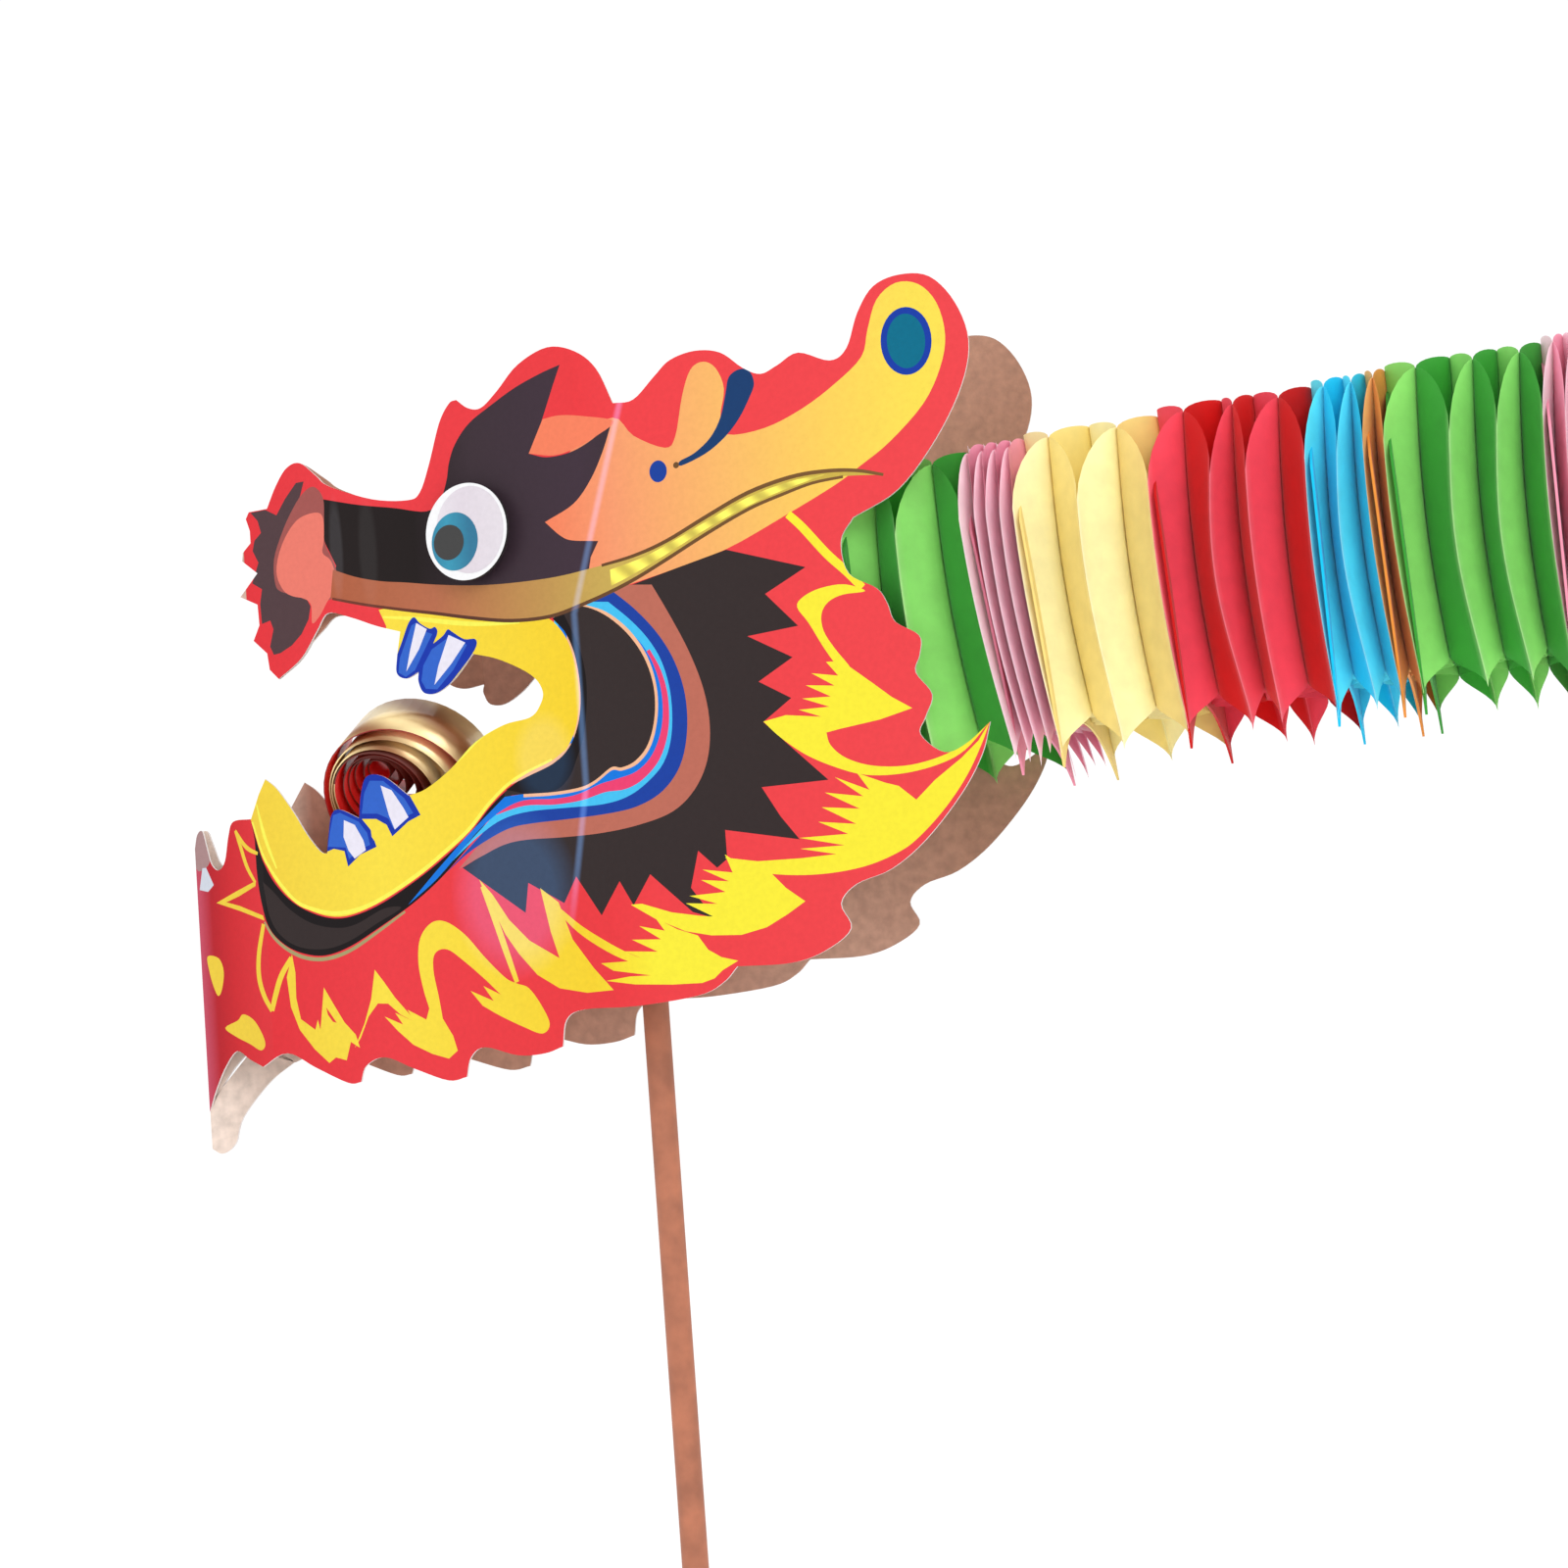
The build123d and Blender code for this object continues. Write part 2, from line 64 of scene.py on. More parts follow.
def lin(c, gain=1.0):
    # screen colour 0-255 to linear
    out = []
    for v in c:
        v = v / 255.0
        out.append(gain * (v / 12.92 if v <= 0.04045 else ((v + 0.055) / 1.055) ** 2.4))
    return (*out, 1.0)


def add_node(tree, kind, **values):
    node = tree.nodes.new(kind)
    for key, value in values.items():
        setattr(node, key, value)
    return node


def add_math(tree, operation, a, b):
    node = add_node(tree, "ShaderNodeMath", operation=operation)
    for socket, value in zip(node.inputs, (a, b)):
        if isinstance(value, (int, float)):
            socket.default_value = value
        else:
            tree.links.new(value, socket)
    return node.outputs[0]


def soft_patch(t, where, centre, radii, strength):
    """Factor that is even in the middle of an ellipsoid (mm) and fades to nothing at its edge."""
    place = add_node(t, "ShaderNodeMapping")
    place.inputs["Scale"].default_value = [1000.0 / r for r in radii]
    place.inputs["Location"].default_value = [-c / r for c, r in zip(centre, radii)]
    t.links.new(where.outputs["Object"], place.inputs["Vector"])
    ball = add_node(t, "ShaderNodeTexGradient", gradient_type="SPHERICAL")
    t.links.new(place.outputs[0], ball.inputs["Vector"])
    return add_math(t, "MULTIPLY", add_math(t, "MINIMUM", add_math(t, "MULTIPLY", ball.outputs["Fac"], 3.0), 1.0),
                    strength)


def smooth_range(t, value, lo, hi):
    """Factor that goes smoothly from 0 at lo to 1 at hi."""
    node = add_node(t, "ShaderNodeMapRange", interpolation_type="SMOOTHSTEP")
    node.inputs["From Min"].default_value = lo
    node.inputs["From Max"].default_value = hi
    t.links.new(value, node.inputs["Value"])
    return node.outputs[0]


def mix_colour(t, factor, base, tone, blend="MIX"):
    mix = add_node(t, "ShaderNodeMix", data_type="RGBA", blend_type=blend)
    t.links.new(factor, mix.inputs[0])
    t.links.new(base, mix.inputs[6])
    mix.inputs[7].default_value = tone
    return mix.outputs[2]


# cheek crease down which the painted highlight line runs, m: its x at mid height, the heights where it bends, and its
# lean above and below them
CREASE_X, CREASE_TOP, CREASE_BOTTOM, LEAN_ABOVE, LEAN_BELOW = -0.0037, 0.278, 0.240, 0.33, 0.2
# colour added along the crease as a painted highlight line
PAINTED_CREASE_SHEEN = (0.05, 0.10, 0.20)
# soft patches of painted sheen, painted reflections on the laminate: centre and radii in mm, strength, added colour
PAINTED_SHEEN_PATCHES = [
    ((-24, 0, 218), (18, 60, 21), 1.0, (0.010, 0.042, 0.095)),
    ((-14, 0, 247), (9, 60, 12), 0.8, (0.006, 0.026, 0.060)),
    ((-67, 0, 302), (2.2, 60, 14), 1.0, (0.020, 0.020, 0.022)),
    ((-58, 0, 300), (3.0, 60, 16), 1.0, (0.010, 0.010, 0.010)),
]


def add_painted_sheen(t, where, base):
    """Painted sheen of the laminate: a painted highlight line down the cheek crease and soft bluish patches of
    painted reflection in front of it.
    """
    sep = add_node(t, "ShaderNodeSeparateXYZ")
    t.links.new(where.outputs["Object"], sep.inputs[0])
    x, z = sep.outputs[0], sep.outputs[2]
    above = add_math(t, "MAXIMUM", add_math(t, "SUBTRACT", z, CREASE_TOP), 0.0)
    below = add_math(t, "MINIMUM", add_math(t, "SUBTRACT", z, CREASE_BOTTOM), 0.0)
    lean = add_math(t, "ADD", add_math(t, "MULTIPLY", above, LEAN_ABOVE), add_math(t, "MULTIPLY", below, LEAN_BELOW))
    off = add_math(t, "ABSOLUTE", add_math(t, "SUBTRACT", x, add_math(t, "ADD", lean, CREASE_X)), 0.0)
    line = smooth_range(t, off, 0.0013, 0.0001)
    fade = smooth_range(t, z, 0.204, 0.226)
    base = mix_colour(t, add_math(t, "MULTIPLY", line, fade), base, (*PAINTED_CREASE_SHEEN, 1.0), "ADD")
    for centre, radii, strength, sheen in PAINTED_SHEEN_PATCHES:
        base = mix_colour(t, soft_patch(t, where, centre, radii, strength), base, (*sheen, 1.0), "ADD")
    return base


def material(name, colour, rough=0.45, coat=0.0, grain=900.0, vary=0.06, bump=0.08, bump_scale=700.0, stripes=None,
             translucent=0.0, shine=0.5, with_painted_sheen=False, rim=None, metal=0.0, gain=1.0):
    """Procedural paper, card, wood or foil, mottled, with a fine bump. The colour is one tone, or a list of
    (x in mm, tone) for a ramp along X."""
    m = bpy.data.materials.new(name)
    m.use_nodes = True
    t = m.node_tree
    t.nodes.clear()
    link = t.links.new
    out = add_node(t, "ShaderNodeOutputMaterial")
    shader = add_node(t, "ShaderNodeBsdfPrincipled")
    shader.inputs["Roughness"].default_value = rough
    shader.inputs["Coat Weight"].default_value = coat
    shader.inputs["Coat Roughness"].default_value = 0.18
    shader.inputs["Specular IOR Level"].default_value = shine
    shader.inputs["Metallic"].default_value = metal
    where = add_node(t, "ShaderNodeTexCoord")
    noise = add_node(t, "ShaderNodeTexNoise")
    noise.inputs["Scale"].default_value = grain
    noise.inputs["Detail"].default_value = 4.0
    link(where.outputs["Object"], noise.inputs["Vector"])
    if isinstance(colour, list):
        sep = add_node(t, "ShaderNodeSeparateXYZ")
        link(where.outputs["Object"], sep.inputs[0])
        scale = add_node(t, "ShaderNodeMapRange")
        lo, hi = colour[0][0] * MM, colour[-1][0] * MM
        scale.inputs["From Min"].default_value = lo
        scale.inputs["From Max"].default_value = hi
        link(sep.outputs[0], scale.inputs["Value"])
        colours = add_node(t, "ShaderNodeValToRGB")
        link(scale.outputs[0], colours.inputs[0])
        stops = colours.color_ramp.elements
        while len(stops) < len(colour):
            stops.new(0.5)
        for stop, (at, c) in zip(stops, colour):
            stop.position = (at * MM - lo) / (hi - lo)
            stop.color = lin(c, gain)
        base = colours.outputs[0]
    else:
        rgb = add_node(t, "ShaderNodeRGB")
        rgb.outputs[0].default_value = lin(colour, gain)
        base = rgb.outputs[0]
    if stripes:
        wave = add_node(t, "ShaderNodeTexWave", wave_type="BANDS", bands_direction="DIAGONAL")
        wave.inputs["Scale"].default_value = stripes[1]
        wave.inputs["Distortion"].default_value = 0.6
        link(where.outputs["Object"], wave.inputs["Vector"])
        base = mix_colour(t, wave.outputs[0], base, lin(stripes[0]))
    if rim:
        # painted highlight: a paler line along the folded outer edge of the paper
        edge = add_node(t, "ShaderNodeAttribute", attribute_name="rim")
        base = mix_colour(t, edge.outputs["Fac"], base, lin(rim))
    # painted highlight line and patches of painted reflection
    if with_painted_sheen:
        base = add_painted_sheen(t, where, base)
    shade = add_node(t, "ShaderNodeMapRange")
    shade.inputs["To Min"].default_value = 1.0 - vary
    shade.inputs["To Max"].default_value = 1.0 + vary
    shade.inputs["From Min"].default_value = 0.3
    shade.inputs["From Max"].default_value = 0.7
    link(noise.outputs[0], shade.inputs["Value"])
    tint = add_node(t, "ShaderNodeMix", data_type="RGBA", blend_type="MULTIPLY")
    tint.inputs[0].default_value = 1.0
    link(base, tint.inputs[6])
    grey = add_node(t, "ShaderNodeCombineColor")
    for k in range(3):
        link(shade.outputs[0], grey.inputs[k])
    link(grey.outputs[0], tint.inputs[7])
    link(tint.outputs[2], shader.inputs["Base Color"])
    rough_map = add_node(t, "ShaderNodeMapRange")
    rough_map.inputs["To Min"].default_value = max(0.05, rough - 0.06)
    rough_map.inputs["To Max"].default_value = min(1.0, rough + 0.06)
    link(noise.outputs[0], rough_map.inputs["Value"])
    link(rough_map.outputs[0], shader.inputs["Roughness"])
    fibre = add_node(t, "ShaderNodeTexNoise")
    fibre.inputs["Scale"].default_value = bump_scale
    fibre.inputs["Detail"].default_value = 3.0
    link(where.outputs["Object"], fibre.inputs["Vector"])
    bumps = add_node(t, "ShaderNodeBump")
    bumps.inputs["Strength"].default_value = bump
    bumps.inputs["Distance"].default_value = 0.0003
    link(fibre.outputs[0], bumps.inputs["Height"])
    link(bumps.outputs[0], shader.inputs["Normal"])
    surface = shader.outputs[0]
    if translucent:
        through = add_node(t, "ShaderNodeBsdfTranslucent")
        link(tint.outputs[2], through.inputs["Color"])
        blend = add_node(t, "ShaderNodeMixShader")
        blend.inputs[0].default_value = translucent
        link(shader.outputs[0], blend.inputs[1])
        link(through.outputs[0], blend.inputs[2])
        surface = blend.outputs[0]
    link(surface, out.inputs[0])
    return m


def print_ink(name, colour, **extra):
    """Printed and laminated card."""
    # every printed ink gets the painted highlight line and the patches of painted reflection
    look = dict(rough=0.42, coat=0.02, shine=0.08, gain=0.76, with_painted_sheen=True, vary=0.035, bump=0.05)
    return material(name, colour, **{**look, **extra})


# tones 0-255; a list is a ramp of (x in mm, tone)
INK_TONES = {
    # red: the chin end is painted light, a pinkish painted highlight at x -118 and painted shade from x -113 to -96
    # where the strip turns away from the light
    "red": [(-118, (206, 84, 108)), (-113, (190, 30, 42)), (-106, (214, 40, 48)), (-96, (230, 52, 60)),
      (-60, (240, 62, 70)), (0, (238, 60, 66)), (12, (242, 66, 72)), (92, (242, 72, 78))],
    "face": [(-12, (250, 128, 92)), (8, (249, 158, 112)), (35, (252, 188, 106)), (60, (255, 212, 92)),
      (80, (253, 226, 84))],
    "wedge": (250, 132, 96),
    # dark: the paler purplish tone from x -28 back is painted reflection of the gloss on the black print
    "dark": [(-70, (34, 26, 26)), (-45, (32, 24, 24)), (-28, (62, 48, 56)), (0, (66, 50, 62)), (10, (62, 48, 56))],
    "mane": (54, 44, 44),
    "black": (26, 20, 22),
    "nose_dark": (84, 62, 66),
    "nose_brown": (166, 88, 84),
    "salmon": (240, 126, 110),
    "navy": (24, 62, 112),
    "blue_rim": (24, 62, 168),
    "teal": (6, 112, 142),
    "band": [(-70, (178, 96, 66)), (-40, (188, 112, 80)), (-10, (196, 152, 84)), (8, (205, 176, 88)),
      (20, (212, 184, 82)), (72, (206, 178, 74))],
    "stripe": (214, 196, 84),
    "band_edge": [(-70, (120, 60, 46)), (-30, (92, 56, 44)), (10, (110, 76, 46)), (70, (128, 92, 52))],
    "yellow": [(-97, (246, 212, 66)), (-60, (254, 228, 72)), (-5, (250, 214, 48)), (10, (253, 240, 60)),
      (90, (253, 238, 56))],
    "lemon": (255, 250, 92),
    "tooth_blue": (52, 104, 208),
    "tooth_edge": (22, 56, 176),
    "tooth_white": (240, 236, 250),
    "olive": (170, 160, 112),
    "terracotta": (192, 110, 92),
    "throat_navy": (26, 66, 164),
    "cyan": (70, 196, 246),
    "pink": (240, 66, 116),
    "mid_blue": (18, 122, 228),
    "peach": (250, 190, 150),
    "dot": (26, 66, 160),
    # the next two inks are painted highlights on the front corner of the lower jaw, pale white and greyed pink
    "pale": (216, 222, 234),
    "lilac_highlight": (176, 140, 140),
}
INK_STRIPES = {"stripe": ((244, 232, 96), 90.0)}
INK = {name: print_ink("ink_" + name, tone, stripes=INK_STRIPES.get(name)) for name, tone in INK_TONES.items()}
# inside of the card: the tone ramp is paler toward the open chin end, has painted shade in a dip around x -90 inside
# the jaw, and is darker toward the rear
KRAFT = material("kraft_inside", [(-118, (214, 196, 184)), (-99, (206, 184, 170)), (-90, (164, 112, 94)),
                                  (-60, (184, 136, 114)), (40, (198, 156, 136)), (70, (184, 138, 116)),
                                  (92, (172, 128, 106))], rough=0.85, vary=0.14, grain=420.0, bump=0.25)
RIM = material("card_edge", (222, 214, 212), rough=0.8, vary=0.08)


def make_object(bm, name, materials):
    """Turns the bmesh into an object with these materials."""
    bm.normal_update()
    mesh = bpy.data.meshes.new(name)
    bm.to_mesh(mesh)
    bm.free()
    for m in materials:
        mesh.materials.append(m)
    obj = bpy.data.objects.new(name, mesh)
    bpy.context.scene.collection.objects.link(obj)
    return obj


# ------------------------------------------------------------ head artwork
# outline of one side in mm (x, z); the same runs of corners and curves as the card is cut to
S, P = "s", "p"
HEAD_RUNS = [
    (P, [(-86, 273.5), (-88.5, 276), (-89, 280), (-92.8, 283.5), (-90.8, 287), (-91, 292)]),
    (P, [(-91, 292), (-96, 294.5), (-90.5, 299.5), (-94.8, 303), (-94.5, 305), (-92, 307)]),
    (P, [(-92, 307), (-92, 310), (-93, 313), (-92, 314.5), (-86.5, 314.5)]),
    (S, [(-86.5, 314.5), (-83.5, 319.5), (-80, 323.3), (-76, 323.8), (-71.5, 320), (-68, 317), (-56, 312),
      (-46, 310.2), (-42.5, 311.5), (-39.5, 317.5), (-36, 326.5), (-33, 330.5), (-31, 331)]),
    (S, [(-31, 331), (-28, 328.6), (-24.5, 328), (-20, 331), (-14, 336), (-6, 338.5), (1, 336.3), (6, 331.5),
      (9.5, 323.2)]),
    (S, [(9.5, 323.2), (14.5, 323.2), (20, 327.5), (24, 330.4), (30, 331.4), (36, 330), (41, 325.8), (45, 323.8),
      (49, 325), (54, 326.9), (61, 324), (65, 326), (68, 333), (72, 338), (78, 339.4), (84.5, 337.8), (89.5, 331.5),
      (91.8, 323), (89.5, 314), (83, 303.7), (74, 294.5), (63.5, 290)]),
    (S, [(63.5, 290), (60.4, 285.5), (61.5, 278.5), (67.5, 274.5), (69.6, 271), (71, 267), (76, 263.5), (75.8, 259.5),
      (74.6, 256), (77.8, 251), (76, 246.5), (74.6, 243), (79.5, 238.8), (84.5, 240.2), (89.8, 244)]),
    (S, [(89.8, 244), (87.5, 237.5), (82.5, 230), (74, 221.2), (66, 215.8), (58, 213.3), (54.2, 209.5), (56, 204.2),
      (50, 200), (42, 197.9), (29.5, 198)]),
    (S, [(29.5, 198), (26, 194.8), (20, 192.4), (5, 191), (-8, 191), (-12.8, 189), (-14.2, 183.2)]),
    (S, [(-14.2, 183.2), (-19, 181.9), (-26, 181.8), (-34.5, 184), (-38.5, 182), (-40, 177.6)]),
    (S, [(-40, 177.6), (-45, 177), (-54, 180), (-62, 183), (-67.5, 181.3), (-69.3, 177.6)]),
    (S, [(-69.3, 177.6), (-73, 177.6), (-82, 181.5), (-90, 185.2), (-98, 182.3)]),
    (S, [(-98, 182.3), (-102.5, 184.2), (-106.8, 186.3), (-111, 183), (-115, 177.5), (-117.9, 172)]),
    (P, [(-117.9, 172), (-117.9, 236)]),
    (S, [(-117.9, 236), (-116.8, 239.2), (-115, 240), (-113.8, 236.5), (-112.3, 231.8), (-109.8, 230), (-107.3, 232),
      (-105.5, 238), (-103.5, 241.2), (-97.2, 241.2)]),
    (P, [(-97.2, 241.2), (-94, 246.8), (-91.8, 250.2)]),
    (S, [(-91.8, 250.2), (-88.5, 247.5), (-84, 241.5), (-80.5, 236), (-77, 231.8), (-75, 231)]),
    (S, [(-75, 231), (-74.3, 235), (-73, 240), (-70.5, 240.9), (-65.2, 238.4)]),
    (S, [(-65.2, 238.4), (-64.3, 244), (-62.3, 247.9), (-57.5, 247.3), (-51, 242.3)]),
    (S, [(-51, 242.3), (-46, 243.4), (-39, 247.2), (-32, 252.5), (-24, 255.6), (-17, 256.5), (-14.2, 258.8),
      (-13.2, 262), (-16, 266), (-24, 270.4), (-31, 272.6)]),
    (S, [(-31, 272.6), (-36, 267.8), (-41, 265), (-44.8, 265.3), (-46.2, 268), (-46, 270.3)]),
    (S, [(-46, 270.3), (-49.5, 269.2), (-52, 270.6), (-51.8, 274), (-50.4, 280.2)]),
    (S, [(-50.4, 280.2), (-57, 282.4), (-64, 285.3), (-70.5, 287.2), (-74, 283.5), (-79, 277.6), (-86, 273.5)]),
]
GOATEE_RUNS = [
    (P, [(-117.9, 174), (-117.9, 163)]),
    (S, [(-117.9, 163), (-115.5, 161.7), (-112.5, 164), (-110.5, 170), (-104, 178), (-98, 182.5)]),
    (P, [(-98, 182.5), (-106, 188), (-117.9, 174)]),
]


# the brow of the far half is cut a little lower
FAR_BROW = (S, [(-31, 331), (-27, 328.2), (-22, 328.4), (-14, 331), (-6, 331.8), (1, 330), (6, 326.6), (9.5, 323.2)])


def curve(points, closed=False, per=5):
    """Smooth curve through the points (centripetal Catmull-Rom)."""
    n = len(points)
    pts = [Vector((p[0], p[1])) for p in points]
    out = []
    spans = n if closed else n - 1
    for i in range(spans):
        p1, p2 = pts[i], pts[(i + 1) % n]
        p0 = pts[i - 1] if (closed or i > 0) else p1 * 2 - p2
        p3 = pts[(i + 2) % n] if (closed or i + 2 < n) else p2 * 2 - p1
        for k in range(per):
            t = k / per
            out.append(0.5 * ((2 * p1) + (p2 - p0) * t + (2 * p0 - 5 * p1 + 4 * p2 - p3) * t * t
                              + (3 * p1 - p0 - 3 * p2 + p3) * t ** 3))
    if not closed:
        out.append(pts[-1])
    return [(p.x, p.y) for p in out]


def run_points(runs, per=5):
    out = []
    for kind, points in runs:
        line = curve(points, per=per) if kind == S else list(points)
        out += line[:-1]
    return out


def smooth(*points):
    return curve(points, closed=True, per=4)


def ellipse(cx, cz, rx, rz, tilt=0.0, n=36):
    c, s = math.cos(math.radians(tilt)), math.sin(math.radians(tilt))
    out = []
    for k in range(n):
        a = 2 * math.pi * k / n
        u, v = rx * math.cos(a), rz * math.sin(a)
        out.append((cx + u * c - v * s, cz + u * s + v * c))
    return out


def stroke(points, width, taper=0.0):
    """Ribbon of a given width along a smooth line; taper narrows both ends."""
    line = [Vector(p) for p in curve(points, per=5)]
    left, right = [], []
    n = len(line)
    for i, p in enumerate(line):
        d = line[min(i + 1, n - 1)] - line[max(i - 1, 0)]
        side = Vector((-d.y, d.x)).normalized()
        at = i / (n - 1)
        w = width / 2 * (1 - taper * abs(2 * at - 1) ** 2)
        w = max(w, 0.08)
        left.append(tuple(p + side * w))
        right.append(tuple(p - side * w))
    return left + right[::-1]


